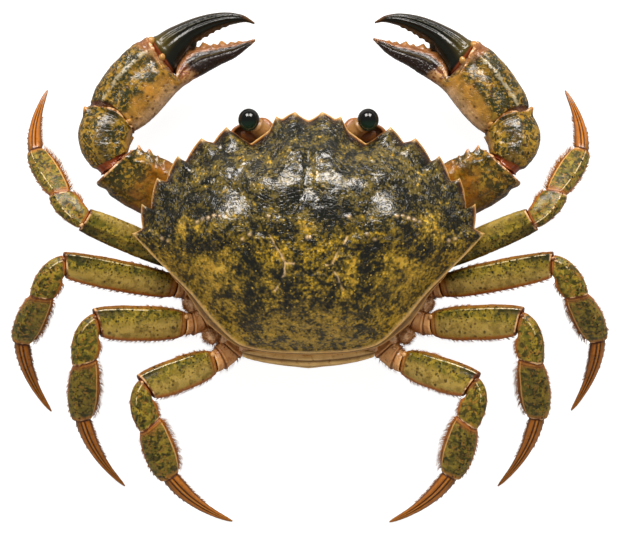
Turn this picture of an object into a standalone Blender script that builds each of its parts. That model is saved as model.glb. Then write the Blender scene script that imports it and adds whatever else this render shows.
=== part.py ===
"""Shore crab (Carcinus maenas), life size, standing on its eight walking legs with the claws held forward.

Lengths are written in millimetres and become metres when each mesh is made. In the body's own frame the
head faces -Y, the crab's left side is +X, Z is up from the floor, and y = 0 is the level of the two last
spines of the shell. An empty carries the whole animal, so that the world's origin is under the middle of
its outline. Every limb is a row of closed shell plates, cut from each other by a thin gap at each joint.
"""

import math
from collections import namedtuple

import bmesh
import bpy
import numpy as np
from mathutils import Matrix, Vector

MM = 0.001
GAP = 0.3
UP = Vector((0.0, 0.0, 1.0))
CENTRE_SHIFT = Vector((0.28, -8.25, 0.0))

# Shell: tips of the frontal lobes and of the side teeth, with the notch that follows each, on one side.
FRONT_MIDDLE = (0.0, -25.6)
MARGIN = (
    (3.0, -27.5), (5.9, -25.9), (7.3, -26.5), (8.9, -23.5), (10.3, -21.9), (13.4, -20.9),
    (16.2, -21.6), (18.5, -24.1), (21.6, -20.4), (24.2, -21.6), (27.8, -16.2), (29.6, -17.6),
    (32.2, -11.8), (34.3, -12.6), (35.7, -5.6), (37.8, -6.7), (37.6, -1.2), (40.1, 0.0),
    (36.0, 4.4), (31.6, 8.8), (26.7, 13.8), (21.0, 20.5), (14.9, 25.6), (7.5, 27.0),
)
MARGIN_TIPS = (0, 2, 7, 9, 11, 13, 15, 17)
REAR_MIDDLE = (0.0, 27.3)
SHELL_MIDDLE = (0.0, -1.5)
SHELL_TOP = 35.5
SHELL_FULLNESS = 2.1
SHELL_BELOW = 16.8
MARGIN_HEIGHT = 20.8
MARGIN_PITCH = -0.08
# Rings of the upper side and of the lower side: part of the way to the margin, and how much tooth is left.
UPPER_RINGS = ((0.94, 0.45), (0.86, 0.08), (0.7, 0.0), (0.48, 0.0), (0.24, 0.0))
LOWER_RINGS = ((0.95, 0.5, 2.0), (0.84, 0.0, 9.0))

# Underbody: half outline at the hips, and (height, width, front, rear) factors of it from the bottom up.
UNDERBODY = (
    (0.0, -20.5), (9.5, -20.5), (17.0, -18.6), (22.3, -13.6), (19.0, -7.6), (22.6, -0.4), (23.6, 0.6),
    (23.6, 14.9), (20.2, 21.2), (13.0, 26.3), (0.0, 26.3),
)
UNDERBODY_LEVELS = (
    (4.6, 0.62, 0.5, 0.7), (5.6, 0.8, 0.58, 0.9), (7.2, 0.97, 0.68, 0.98), (13.6, 1.0, 1.0, 1.0),
    (16.5, 0.96, 1.0, 0.97),
)

# Walking legs, front to back. Lengths are in plan, for merus, carpus, propodus and dactyl; the headings
# are in degrees from straight out, towards the tail; the widths are the widest of each of the four.
Leg = namedtuple("Leg", "root facing start lengths heights widths left right")
LEGS = (
    Leg((24.0, 4.2), 0.0, (28.8, 6.4), (23.9, 7.8, 12.0, 15.0), (20.5, 19.5, 10.5),
        (6.4, 6.2, 6.2, 3.4), (-23.5, -46.0, -57.0, -97.5), (-23.7, -47.5, -56.0, -101.5)),
    Leg((24.0, 11.2), 0.0, (30.6, 12.1), (25.1, 8.6, 11.8, 17.8), (21.5, 20.0, 10.5),
        (7.0, 6.3, 6.9, 3.6), (-11.2, 53.0, 62.5, 110.0), (-11.4, 51.0, 60.5, 107.5)),
    Leg((22.4, 18.1), 28.0, (28.6, 20.7), (19.3, 9.1, 13.3, 18.9), (20.5, 19.0, 10.0),
        (8.0, 6.5, 7.3, 3.6), (-1.1, 71.5, 85.0, 119.5), (-2.1, 73.5, 81.0, 117.0)),
    Leg((16.6, 24.3), 55.0, (21.9, 29.4), (16.0, 8.5, 12.9, 18.3), (19.0, 17.5, 9.5),
        (7.8, 6.1, 7.6, 3.8), (20.0, 95.0, 109.0, 142.0), (18.0, 96.5, 105.5, 140.0)),
)
HIP_HEIGHT = 10.5
MERUS_START_HEIGHT = 12.0
TIP_HEIGHT = 0.3
DACTYL_CURL = 17.0
# Sections of each leg plate: (place along it, part of its full width, depth over width).
HIP_SECTIONS = ((0.0, 1.0, 1.05), (0.35, 1.0, 1.0), (0.7, 0.88, 0.95), (1.0, 0.8, 0.95))
HIP_WIDTH = 5.9
MERUS_SECTIONS = (
    (0.0, 0.72, 0.8), (0.12, 0.86, 0.72), (0.35, 0.98, 0.64), (0.65, 1.0, 0.62), (0.9, 0.94, 0.66),
    (1.0, 0.84, 0.7),
)
CARPUS_SECTIONS = ((0.0, 0.72, 0.78), (0.3, 0.88, 0.72), (0.7, 1.0, 0.68), (1.0, 0.9, 0.68))
PROPODUS_SECTIONS = (
    (0.0, 0.78, 0.66), (0.2, 0.92, 0.6), (0.55, 1.0, 0.56), (0.85, 0.86, 0.6), (1.0, 0.64, 0.66),
)
DACTYL_SECTIONS = (
    (0.0, 1.0, 0.86), (0.15, 0.96, 0.82), (0.4, 0.76, 0.82), (0.7, 0.48, 0.9), (0.93, 0.24, 1.0),
    (1.0, 0.17, 1.0),
)

# Claw arms: root and wrist of the arm in plan, and where the palm starts on each side.
ARM_ROOT = Vector((22.0, -3.6, 10.9))
ARM_END = Vector((44.2, -15.4, 15.0))
ARM_END_FACING = -48.0
ARM_FACING = -27.0
ARM_SECTIONS = ((0.0, 3.5, 3.3), (0.3, 5.2, 4.0), (0.6, 6.8, 4.5), (0.85, 6.5, 4.8), (1.0, 5.6, 4.6))
Palm = namedtuple("Palm", "x y heading size")
PALMS = {"left": Palm(44.9, -26.4, -128.5, 1.0), "right": Palm(45.5, -25.5, -125.3, 0.97)}
PALM_HEIGHT = 13.6
WRIST_BASE = ((41.4, -18.0), (47.4, -13.2))
WRIST_BULGE = (7.6, 0.25)
WRIST_SECTIONS = ((0.0, 4.3), (0.18, 5.3), (0.45, 5.9), (0.72, 5.7), (1.0, 4.9))
# Claw sections in the palm's own plane: along, outer edge, along, inner edge, height, half of the depth.
PALM_SECTIONS = (
    (-0.8, 5.7, 0.7, -5.7, 13.6, 4.3), (3.8, 7.4, 4.0, -6.9, 13.6, 5.1), (8.1, 7.6, 7.7, -7.4, 13.5, 5.3),
    (14.2, 7.0, 11.2, -7.6, 13.2, 5.0), (19.2, 4.8, 13.4, -7.7, 12.9, 4.2),
    (16.7, -5.1, 15.4, -7.9, 12.6, 3.1), (20.3, -5.6, 18.1, -8.7, 12.4, 2.9),
    (23.6, -6.2, 21.5, -10.1, 12.0, 2.5), (27.6, -8.0, 25.0, -11.5, 11.6, 2.0),
    (30.7, -11.0, 29.0, -13.4, 11.2, 1.4), (33.4, -13.1, 32.5, -14.2, 10.9, 0.8),
    (34.6, -14.1, 34.3, -14.5, 10.8, 0.4),
)
FINGER_SECTIONS = (
    (20.4, 3.9, 17.7, -4.0, 13.0, 2.9), (23.4, 2.9, 21.2, -3.9, 12.9, 3.0), (27.2, 1.0, 25.0, -3.9, 12.6, 2.8),
    (30.8, -1.0, 28.7, -5.0, 12.2, 2.5), (34.0, -3.7, 31.8, -6.5, 11.8, 2.1),
    (36.3, -6.6, 34.5, -8.4, 11.4, 1.5), (37.5, -9.6, 36.4, -10.2, 11.0, 0.9),
    (37.6, -11.7, 37.2, -11.9, 10.8, 0.4),
)

# Head.
EYE_CENTRE = Vector((13.5, -25.7, 21.8))
EYE_RADII = Vector((2.2, 2.6, 2.4))
STALK_ROOT = Vector((8.2, -22.6, 17.4))
STALK_RADIUS = 1.55
ANTENNA_PATH = (
    (8.4, -22.6, 13.9, 1.1), (9.1, -24.4, 14.7, 1.15), (9.9, -25.6, 14.6, 0.85), (11.2, -26.1, 12.9, 0.5),
    (12.6, -25.9, 10.4, 0.4), (13.6, -25.1, 7.8, 0.32), (13.9, -24.0, 5.8, 0.27),
)
MOUTH_PLATE_PATH = ((-11.4, 3.9), (-14.5, 6.7), (-18.6, 10.7), (-21.6, 13.7))
MOUTH_PLATE_WIDTHS = (1.9, 2.7, 2.9, 2.5)
MOUTH_PLATE_THICKNESS = 1.3

# Tail, folded under: (y, z, half width) of its middle line from behind the shell to its tip.
TAIL_PATH = (
    (27.9, 16.6, 15.2), (29.6, 15.6, 15.0), (29.9, 13.6, 11.6), (28.9, 9.5, 8.8), (26.8, 5.4, 8.2),
    (23.0, 3.6, 8.6), (14.0, 3.4, 7.2), (4.0, 3.4, 5.4), (-3.5, 3.4, 2.6),
)
TAIL_THICKNESS = 1.3
TAIL_SWEEP = 1.7

COLOURS = {
    "shell": ((0.085, 0.085, 0.035, 1.0), 0.38),
    "underside": ((0.55, 0.42, 0.24, 1.0), 0.5),
    "limb": ((0.14, 0.12, 0.045, 1.0), 0.42),
    "toe": ((0.33, 0.15, 0.05, 1.0), 0.4),
    "finger": ((0.02, 0.022, 0.016, 1.0), 0.28),
    "eye": ((0.006, 0.008, 0.007, 1.0), 0.08),
    "stalk": ((0.42, 0.24, 0.11, 1.0), 0.45),
}


def clear_scene():
    for item in list(bpy.data.objects):
        bpy.data.objects.remove(item, do_unlink=True)


def make_material(name, colour, roughness):
    made = bpy.data.materials.new(name)
    made.use_nodes = True
    shader = made.node_tree.nodes["Principled BSDF"]
    shader.inputs["Base Color"].default_value = colour
    shader.inputs["Roughness"].default_value = roughness
    shader.inputs["Metallic"].default_value = 0.0
    return made


def add_node(name, bm, origin, finish, animal):
    """Turns a bmesh in body millimetres into an object whose origin is at the given point."""
    bmesh.ops.recalc_face_normals(bm, faces=bm.faces)
    bmesh.ops.translate(bm, verts=bm.verts, vec=-origin)
    bmesh.ops.scale(bm, verts=bm.verts, vec=Vector((MM, MM, MM)))
    mesh = bpy.data.meshes.new(name)
    bm.to_mesh(mesh)
    bm.free()
    mesh.materials.append(make_material(name, *COLOURS[finish]))
    mesh.shade_smooth()
    mesh.set_sharp_from_angle(angle=math.radians(50.0))
    item = bpy.data.objects.new(name, mesh)
    item.location = origin * MM
    item.parent = animal.empty
    animal.collection.objects.link(item)
    return item


def mirrored(vector, side):
    """The same point or direction on the named side: the left is +X."""
    return Vector((vector[0] if side == "left" else -vector[0], vector[1], vector[2]))


def heading(degrees, rise=0.0):
    """A unit vector that points out sideways, turned towards the tail, and rises by that slope."""
    angle = math.radians(degrees)
    return Vector((math.cos(angle), math.sin(angle), rise)).normalized()


def bridge(bm, rings):
    """Joins each ring of edges to the next one, as a tube."""
    for first, second in zip(rings, rings[1:]):
        bmesh.ops.bridge_loops(bm, edges=first + second)


def add_ring(bm, centre, across, upward, capped, sides):
    """An ellipse whose half axes are the two vectors, with a face across it where the tube ends there."""
    normal = across.cross(upward).normalized()
    basis = Matrix((across, upward, normal)).transposed().to_4x4()
    made = bmesh.ops.create_circle(
        bm, cap_ends=capped, segments=sides, radius=1.0, matrix=Matrix.Translation(centre) @ basis
    )
    verts = made["verts"]
    return [bm.edges.get(pair) for pair in zip(verts, verts[1:] + verts[:1])]


def bezier(points, place):
    """A cubic curve through the first and last of four points, drawn towards the middle two."""
    rest = 1.0 - place
    weights = (rest**3, 3.0 * rest**2 * place, 3.0 * rest * place**2, place**3)
    return sum((weight * point for weight, point in zip(weights, points)), Vector((0.0, 0.0, 0.0)))


def limb_plate(ends, aims, faces, sections, sides, floor=None):
    """A bent tube between two joints. Its middle line leaves and arrives along the two aims, its end
    faces look along the two face directions, and its sections are (place, half width, half depth)."""
    start = ends[0] + faces[0] * GAP / 2.0
    end = ends[1] - faces[1] * GAP / 2.0
    reach = (end - start).length / 3.0
    line = (start, start + aims[0] * reach, end - aims[1] * reach, end)
    bm = bmesh.new()
    rings = []
    for place, half_width, half_depth in sections:
        ahead = bezier(line, min(place + 0.02, 1.0)) - bezier(line, max(place - 0.02, 0.0))
        share_first = (1.0 - place) ** 3
        share_last = place**3
        normal = ahead.normalized() * (1.0 - share_first - share_last)
        normal = (normal + faces[0] * share_first + faces[1] * share_last).normalized()
        across = UP.cross(normal).normalized()
        upward = normal.cross(across)
        capped = place in (0.0, 1.0)
        centre = bezier(line, place)
        rings.append(add_ring(bm, centre, across * half_width, upward * half_depth, capped, sides))
    bridge(bm, rings)
    if floor is not None:
        for vert in bm.verts:
            vert.co.z = max(vert.co.z, floor)
    return bm


def scaled_sections(sections, width):
    """Sections given as parts of a width, as half widths and half depths in millimetres."""
    return [(place, part * width / 2.0, part * depth * width / 2.0) for place, part, depth in sections]


def leg_joints(leg, turns):
    """The five joint points of a leg, from the start of the merus to the tip of the toe."""
    heights = (MERUS_START_HEIGHT, *leg.heights, TIP_HEIGHT)
    joints = [Vector((*leg.start, heights[0]))]
    for length, turn, height in zip(leg.lengths, turns, heights[1:]):
        reached = joints[-1] + heading(turn) * length
        joints.append(Vector((reached.x, reached.y, height)))
    return joints


def build_leg(number, leg, side, animal):
    """One walking leg: hip, merus, carpus, propodus and the curled dactyl that stands on the floor."""
    turns = leg.left if side == "left" else leg.right
    joints = leg_joints(leg, turns)
    root = Vector((*leg.root, HIP_HEIGHT))
    slopes = [
        (second.z - first.z) / length for first, second, length in zip(joints, joints[1:], leg.lengths)
    ]
    curl = math.copysign(DACTYL_CURL, turns[3] - turns[2])
    bend = 0.5 * (turns[1] - turns[0])
    out_of_body = heading(leg.facing)
    aims = (
        (out_of_body, heading(turns[0], slopes[0])),
        (heading(turns[0], slopes[0]), heading(turns[0], slopes[0])),
        (heading(turns[0] + bend, 0.1), heading(turns[2], slopes[1])),
        (heading(turns[2], slopes[2]), heading(turns[2], slopes[2])),
        (heading(turns[3] - curl, slopes[3] * 0.8), heading(turns[3] + curl, -0.1)),
    )
    faces = [out_of_body]
    faces += [(before[1] + after[0]).normalized() for before, after in zip(aims, aims[1:])]
    faces.append(aims[4][1])
    plates = (
        ("hip", HIP_SECTIONS, HIP_WIDTH, "underside"),
        ("merus", MERUS_SECTIONS, leg.widths[0], "limb"),
        ("carpus", CARPUS_SECTIONS, leg.widths[1], "limb"),
        ("propodus", PROPODUS_SECTIONS, leg.widths[2], "limb"),
        ("dactyl", DACTYL_SECTIONS, leg.widths[3], "toe"),
    )
    ends = [root, *joints]
    for order, (plate, sections, width, finish) in enumerate(plates):
        floor = 0.0 if plate == "dactyl" else None
        bm = limb_plate(
            [mirrored(point, side) for point in ends[order : order + 2]],
            [mirrored(aim, side) for aim in aims[order]],
            [mirrored(face, side) for face in faces[order : order + 2]],
            scaled_sections(sections, width),
            10,
            floor,
        )
        add_node(f"leg{number}_{side}_{plate}", bm, mirrored(ends[order], side), finish, animal)


def edge_section(bm, outer, inner, half_depth, capped, sides):
    """A ring that spans from one edge point to the other and is twice the half depth deep."""
    across = (outer - inner) / 2.0
    return add_ring(bm, (outer + inner) / 2.0, across, UP * half_depth, capped, sides)


def claw_tube(sections, palm, side, sides):
    """A tube through claw sections, turned and moved to the palm's place on that side."""
    along = heading(palm.heading) * palm.size
    outward = Vector((-along.y, along.x, 0.0))
    base = Vector((palm.x, palm.y, 0.0))
    bm = bmesh.new()
    rings = []
    for order, (along_out, out, along_in, inn, height, half_depth) in enumerate(sections):
        outer = base + along * along_out + outward * out + UP * height
        inner = base + along * along_in + outward * inn + UP * height
        capped = order in (0, len(sections) - 1)
        rings.append(
            edge_section(bm, mirrored(outer, side), mirrored(inner, side), half_depth, capped, sides)
        )
    bridge(bm, rings)
    return bm


def build_wrist(palm, side, animal):
    """The carpus of the claw: a fan of sections from the arm's end to the palm, bulging outwards."""
    along = heading(palm.heading) * palm.size
    outward = Vector((-along.y, along.x, 0.0))
    base = Vector((palm.x, palm.y, 0.0))
    first = PALM_SECTIONS[0]
    back = along * GAP
    palm_outer = base + along * first[0] + outward * first[1] - back
    palm_inner = base + along * first[2] + outward * first[3] - back
    inner_start, outer_start = (Vector((*point, 0.0)) for point in WRIST_BASE)
    middle_height = (ARM_END.z + PALM_HEIGHT) / 2.0
    bulge = (outer_start + palm_outer) / 2.0 + Vector((*WRIST_BULGE, 0.0))
    bm = bmesh.new()
    rings = []
    for place, half_depth in WRIST_SECTIONS:
        inner = inner_start.lerp(palm_inner, place)
        outer = outer_start.lerp(bulge, place).lerp(bulge.lerp(palm_outer, place), place)
        height = UP * (middle_height + (0.5 - place) * (ARM_END.z - PALM_HEIGHT))
        rings.append(
            edge_section(
                bm, mirrored(outer + height, side), mirrored(inner + height, side), half_depth,
                place in (0.0, 1.0), 16,
            )
        )
    bridge(bm, rings)
    origin = mirrored((inner_start + outer_start) / 2.0 + UP * ARM_END.z, side)
    add_node(f"claw_{side}_carpus", bm, origin, "limb", animal)


def build_claw(side, animal):
    """Arm, carpus, palm with its fixed finger, and the movable finger of one claw leg."""
    palm = PALMS[side]
    bm = limb_plate(
        [mirrored(ARM_ROOT, side), mirrored(ARM_END, side)],
        [mirrored(heading(ARM_FACING), side), mirrored(heading(ARM_FACING, 0.2), side)],
        [mirrored(heading(ARM_FACING), side), mirrored(heading(ARM_END_FACING), side)],
        ARM_SECTIONS,
        14,
    )
    add_node(f"claw_{side}_arm", bm, mirrored(ARM_ROOT, side), "limb", animal)
    build_wrist(palm, side, animal)
    base = mirrored(Vector((palm.x, palm.y, PALM_HEIGHT)), side)
    add_node(f"claw_{side}_palm", claw_tube(PALM_SECTIONS, palm, side, 16), base, "limb", animal)
    along = heading(palm.heading)
    hinge = mirrored(Vector((palm.x, palm.y, PALM_HEIGHT)) + along * FINGER_SECTIONS[0][0], side)
    finger = claw_tube(FINGER_SECTIONS, palm, side, 12)
    add_node(f"claw_{side}_finger", finger, hinge, "finger", animal)


def full_outline(first, half, last):
    """A closed outline from the front's middle round by the left to the rear's middle and back."""
    right = [(-x, y) for x, y in reversed(half)]
    return np.array([first, *half, last, *right])


def toothless(outline, tips):
    """The outline with each tip moved onto the line between its two neighbours."""
    base = outline.copy()
    for tip in tips:
        for place in (tip, len(outline) - tip):
            before = outline[place - 1]
            after = outline[(place + 1) % len(outline)]
            base[place] = (before + after) / 2.0
    return base


def loft(bm, loops):
    """Faces between closed loops of points, each joined to the next, and across the two end loops."""
    rows = [[bm.verts.new(point) for point in loop] for loop in loops]
    for lower, upper in zip(rows, rows[1:]):
        for place in range(len(lower)):
            after = (place + 1) % len(lower)
            bm.faces.new((lower[place], lower[after], upper[after], upper[place]))
    bm.faces.new(rows[0])
    bm.faces.new(rows[-1])


def build_shell(animal):
    """The carapace: a toothed margin, a low dome over it and a shallow hollow-free underside."""
    outline = full_outline(FRONT_MIDDLE, MARGIN, REAR_MIDDLE)
    base = toothless(outline, [tip + 1 for tip in MARGIN_TIPS])
    middle = np.array(SHELL_MIDDLE)
    margin_height = MARGIN_HEIGHT + MARGIN_PITCH * outline[:, 1]

    def ring(part, tooth):
        return middle + part * (base + tooth * (outline - base) - middle)

    loops = []
    for part, tooth, drop in reversed(LOWER_RINGS):
        flat = ring(part, tooth)
        height = np.maximum(margin_height - drop, SHELL_BELOW)
        loops.append(np.column_stack((flat, height)))
    loops.append(np.column_stack((outline, margin_height)))
    for part, tooth in UPPER_RINGS:
        height = margin_height + (SHELL_TOP - margin_height) * (1.0 - part**SHELL_FULLNESS)
        loops.append(np.column_stack((ring(part, tooth), height)))
    bm = bmesh.new()
    loft(bm, [[Vector(point) for point in loop] for loop in loops])
    add_node("carapace", bm, Vector((*SHELL_MIDDLE, MARGIN_HEIGHT)), "shell", animal)


def build_underbody(animal):
    """Breast plates and gill-chamber walls in one solid, with a seat for each limb along its sides."""
    outline = full_outline(UNDERBODY[0], UNDERBODY[1:-1], UNDERBODY[-1])
    loops = []
    for height, width, front, rear in UNDERBODY_LEVELS:
        factor = np.where(outline[:, 1] < 0.0, front, rear)
        loops.append(
            np.column_stack((outline[:, 0] * width, outline[:, 1] * factor, np.full(len(outline), height)))
        )
    bm = bmesh.new()
    loft(bm, [[Vector(point) for point in loop] for loop in loops])
    add_node("underbody", bm, Vector((0.0, 0.0, UNDERBODY_LEVELS[0][0])), "underside", animal)


def strip(path, thickness, sweep=0.0):
    """A closed strip across the body: path rows are (y, z, half width, middle x), each row a flat box
    section of seven stations that bow forwards at the sides by the sweep."""
    stations = np.linspace(-1.0, 1.0, 7)
    path = np.array(path)
    line = path[:, :2]
    ahead = np.gradient(line, axis=0)
    ahead /= np.linalg.norm(ahead, axis=1)[:, None]
    inward = np.column_stack((-ahead[:, 1], ahead[:, 0]))
    loops = []
    for (y, z, half_width, middle_x), (in_y, in_z) in zip(path, inward):
        outer_face = []
        inner_face = []
        for station in stations:
            thin = thickness * (1.0 - 0.5 * station**2) / 2.0
            x = middle_x + station * half_width
            back = y - sweep * station**2
            outer_face.append(Vector((x, back - in_y * thin, z - in_z * thin)))
            inner_face.append(Vector((x, back + in_y * thin, z + in_z * thin)))
        loops.append(outer_face + inner_face[::-1])
    bm = bmesh.new()
    loft(bm, loops)
    return bm


def build_tail(animal):
    """The abdomen: a flap that shows behind the shell and lies folded under the body."""
    rows = [(y, z, half_width, 0.0) for y, z, half_width in TAIL_PATH]
    bm = strip(rows, TAIL_THICKNESS, TAIL_SWEEP)
    add_node("abdomen", bm, Vector((0.0, TAIL_PATH[0][0], TAIL_PATH[0][1])), "underside", animal)


def build_mouth_plates(side, animal):
    """The outer mouth plate of one side, leaning on the slope under the head."""
    middle_x = MOUTH_PLATE_WIDTHS[2] + GAP
    rows = [(y, z, width, middle_x) for (y, z), width in zip(MOUTH_PLATE_PATH, MOUTH_PLATE_WIDTHS)]
    bm = strip(rows, MOUTH_PLATE_THICKNESS)
    if side == "right":
        bmesh.ops.scale(bm, verts=bm.verts, vec=Vector((-1.0, 1.0, 1.0)))
    origin = mirrored(Vector((middle_x, *MOUTH_PLATE_PATH[0])), side)
    add_node(f"mouth_plate_{side}", bm, origin, "underside", animal)


def build_eye(side, animal):
    """A round eye and the short stalk that carries it out of its socket."""
    centre = mirrored(EYE_CENTRE, side)
    bm = bmesh.new()
    bmesh.ops.create_uvsphere(bm, u_segments=14, v_segments=10, radius=1.0)
    bmesh.ops.scale(bm, verts=bm.verts, vec=EYE_RADII)
    bmesh.ops.translate(bm, verts=bm.verts, vec=centre)
    add_node(f"eye_{side}", bm, centre, "eye", animal)
    root = mirrored(STALK_ROOT, side)
    outward = (centre - root).normalized()
    stretched = Vector(tuple(part / radius for part, radius in zip(outward, EYE_RADII)))
    end = centre - outward * (1.0 / stretched.length + GAP / 2.0)
    sections = ((0.0, STALK_RADIUS, STALK_RADIUS), (0.5, STALK_RADIUS, STALK_RADIUS), (1.0, 1.3, 1.3))
    stalk = limb_plate([root, end], [outward, outward], [outward, outward], sections, 10)
    add_node(f"eyestalk_{side}", stalk, root, "stalk", animal)


def build_antenna(side, animal):
    """The second feeler: a thick base beside the eye and a thin lash folded down under the brow."""
    path = [(mirrored(Vector(row[:3]), side), row[3]) for row in ANTENNA_PATH]
    bm = bmesh.new()
    rings = []
    for order, (centre, radius) in enumerate(path):
        before = path[max(order - 1, 0)][0]
        after = path[min(order + 1, len(path) - 1)][0]
        ahead = (after - before).normalized()
        across = UP.cross(ahead).normalized()
        upward = ahead.cross(across)
        capped = order in (0, len(path) - 1)
        rings.append(add_ring(bm, centre, across * radius, upward * radius, capped, 8))
    bridge(bm, rings)
    add_node(f"antenna_{side}", bm, path[0][0], "stalk", animal)


def main():
    clear_scene()
    collection = bpy.data.collections.new("shore_crab")
    bpy.context.scene.collection.children.link(collection)
    empty = bpy.data.objects.new("animal", None)
    empty.location = CENTRE_SHIFT * MM
    collection.objects.link(empty)
    animal = namedtuple("Animal", "empty collection")(empty, collection)
    build_shell(animal)
    build_underbody(animal)
    build_tail(animal)
    for side in ("left", "right"):
        build_mouth_plates(side, animal)
        build_eye(side, animal)
        build_antenna(side, animal)
        build_claw(side, animal)
        for number, leg in enumerate(LEGS, start=1):
            build_leg(number, leg, side, animal)


main()
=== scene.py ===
"""Looks of the shore crab: a still, life-size model that stands on its eight walking legs, claws forward.

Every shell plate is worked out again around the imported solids, fine enough to carry its grain, grooves,
teeth and bristles. Shapes are worked out in body millimetres: the head faces -Y, the crab's left is +X,
z is up from the floor, and y = 0 is the level of the two last spines of the shell. Each limb is shaped
for the left side and mirrored for the right. The shell's box says where the body stands in the frame.
"""

import math
from collections import namedtuple

import bpy
import numpy as np
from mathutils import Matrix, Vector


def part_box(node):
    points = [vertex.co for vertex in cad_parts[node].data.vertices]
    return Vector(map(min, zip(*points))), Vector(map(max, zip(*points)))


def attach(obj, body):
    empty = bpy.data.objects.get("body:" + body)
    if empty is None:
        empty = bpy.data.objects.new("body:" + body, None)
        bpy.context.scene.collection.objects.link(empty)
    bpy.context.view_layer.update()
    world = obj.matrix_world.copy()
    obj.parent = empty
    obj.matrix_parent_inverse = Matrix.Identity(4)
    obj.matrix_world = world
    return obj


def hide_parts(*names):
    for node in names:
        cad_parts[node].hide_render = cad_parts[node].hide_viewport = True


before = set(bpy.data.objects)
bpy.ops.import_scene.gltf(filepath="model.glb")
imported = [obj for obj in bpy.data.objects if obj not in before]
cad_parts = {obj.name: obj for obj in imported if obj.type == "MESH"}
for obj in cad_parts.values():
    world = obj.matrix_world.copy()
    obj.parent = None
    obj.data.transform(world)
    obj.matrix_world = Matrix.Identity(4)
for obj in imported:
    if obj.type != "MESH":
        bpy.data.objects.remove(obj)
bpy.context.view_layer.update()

# ---------------------------------------------------------------- driving sizes, body millimetres

MM = 0.001
GAP = 0.3
UP = np.array((0.0, 0.0, 1.0))
SIDES = ("left", "right")

FRONT_MIDDLE = (0.0, -25.6)
MARGIN = (
    (3.0, -27.5), (5.9, -25.9), (7.3, -26.5), (8.9, -23.3), (11.4, -21.5), (13.15, -20.2),
    (14.7, -21.3), (18.5, -24.1), (21.6, -20.4), (24.2, -21.6), (27.8, -16.2), (29.6, -17.6),
    (32.2, -11.8), (34.3, -12.6), (35.7, -5.6), (37.8, -6.7), (37.6, -1.2), (40.1, 0.0),
    (36.0, 4.4), (31.6, 8.8), (26.7, 13.8), (21.0, 20.5), (14.9, 25.6), (7.5, 27.0),
)
REAR_MIDDLE = (0.0, 27.3)
MARGIN_TIPS = (0, 2, 7, 9, 11, 13, 15, 17)
LAST_TOOTH = 17
# The stretches of the margin round the eye's socket, and how far the others bow before and behind a tip.
SOCKET_STRETCHES = range(3, 7)
RISING_BOW = -0.06
FALLING_BOW = 0.05
SHELL_MIDDLE = np.array((0.0, -1.5))
SHELL_TOP = 35.5
SHELL_FULLNESS = 2.3
SHELL_BELOW = 16.8
MARGIN_HEIGHT = 20.8
MARGIN_PITCH = -0.08

shell_low, shell_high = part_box("carapace")
SHIFT = np.array(
    ((shell_low.x + shell_high.x) / 2.0 / MM, shell_low.y / MM - min(y for x, y in MARGIN), 0.0)
)


# ---------------------------------------------------------------- scattered numbers and smooth curves


def scatter(cells, seed):
    """A steady number from 0 to 1 for each row of whole numbers: the row times large primes, well mixed."""
    whole = np.asarray(cells).astype(np.int64).astype(np.uint32)
    mixed = whole[..., 0] * np.uint32(73856093) ^ whole[..., 1] * np.uint32(19349663)
    mixed = mixed ^ whole[..., 2] * np.uint32(83492791) ^ np.uint32(seed * 40503 + 977)
    mixed = (mixed ^ (mixed >> np.uint32(15))) * np.uint32(2246822519)
    mixed = (mixed ^ (mixed >> np.uint32(13))) * np.uint32(3266489917)
    return (mixed ^ (mixed >> np.uint32(16))) / 4294967295.0


def noise(points, size, seed=0):
    """Smooth noise from -1 to 1: scattered numbers at the corners of cubes of that size, blended between
    the corners with an s-curve."""
    scaled = points / size
    base = np.floor(scaled)
    share = scaled - base
    share = share * share * (3.0 - 2.0 * share)
    total = 0.0
    for corner in np.ndindex(2, 2, 2):
        weight = np.prod(np.where(corner, share, 1.0 - share), axis=-1)
        total = total + weight * scatter(base + corner, seed)
    return 2.0 * total - 1.0


def rough(points, size, layers=3, seed=0):
    """Layered noise: each layer has half the size and half the strength of the one before."""
    return sum(noise(points, size / 2**order, seed + order) / 2**order for order in range(layers))


def grains(points, size, seed=0, squash=(1.0, 1.0, 1.0)):
    """Rounded grains from 0 to 1: one minus the squared distance to the nearest of a point scattered in
    each cube, cut off at nothing."""
    scaled = points / (size * np.array(squash))
    base = np.floor(scaled)
    nearest = np.full(points.shape[:-1], 9.0)
    for step in np.ndindex(3, 3, 3):
        cell = base + np.array(step) - 1.0
        centre = np.stack([scatter(cell, seed + axis) for axis in range(3)], axis=-1)
        away = scaled - cell - 0.15 - 0.7 * centre
        nearest = np.minimum(nearest, np.einsum("...i,...i", away, away))
    return np.clip(1.0 - nearest / 0.5, 0.0, 1.0)


def smooth(places, values, wanted):
    """Reads a smooth curve through the values: a cubic in each gap, whose slope at each value is the
    harmonic mean of its neighbours' slopes, so that it never overshoots."""
    places = np.asarray(places, float)
    values = np.asarray(values, float).reshape(len(places), -1)
    gaps = np.diff(places)[:, None]
    slopes = np.diff(values, axis=0) / gaps
    product = slopes[:-1] * slopes[1:]
    total = np.where(product > 0.0, slopes[:-1] + slopes[1:], 1.0)
    inner = np.where(product > 0.0, 2.0 * product / total, 0.0)
    tangents = np.concatenate((slopes[:1], inner, slopes[-1:]))
    index = np.clip(np.searchsorted(places, wanted, side="right") - 1, 0, len(places) - 2)
    step = gaps[index]
    u = (np.asarray(wanted)[:, None] - places[index][:, None]) / step
    found = values[index] * (2 * u**3 - 3 * u**2 + 1) + values[index + 1] * (3 * u**2 - 2 * u**3)
    found += step * (tangents[index] * (u**3 - 2 * u**2 + u) + tangents[index + 1] * (u**3 - u**2))
    return found


def run_along(points):
    """How far along a row of points each one lies, from 0 at the first."""
    return np.concatenate(([0.0], np.cumsum(np.linalg.norm(np.diff(points, axis=0), axis=1))))


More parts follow.
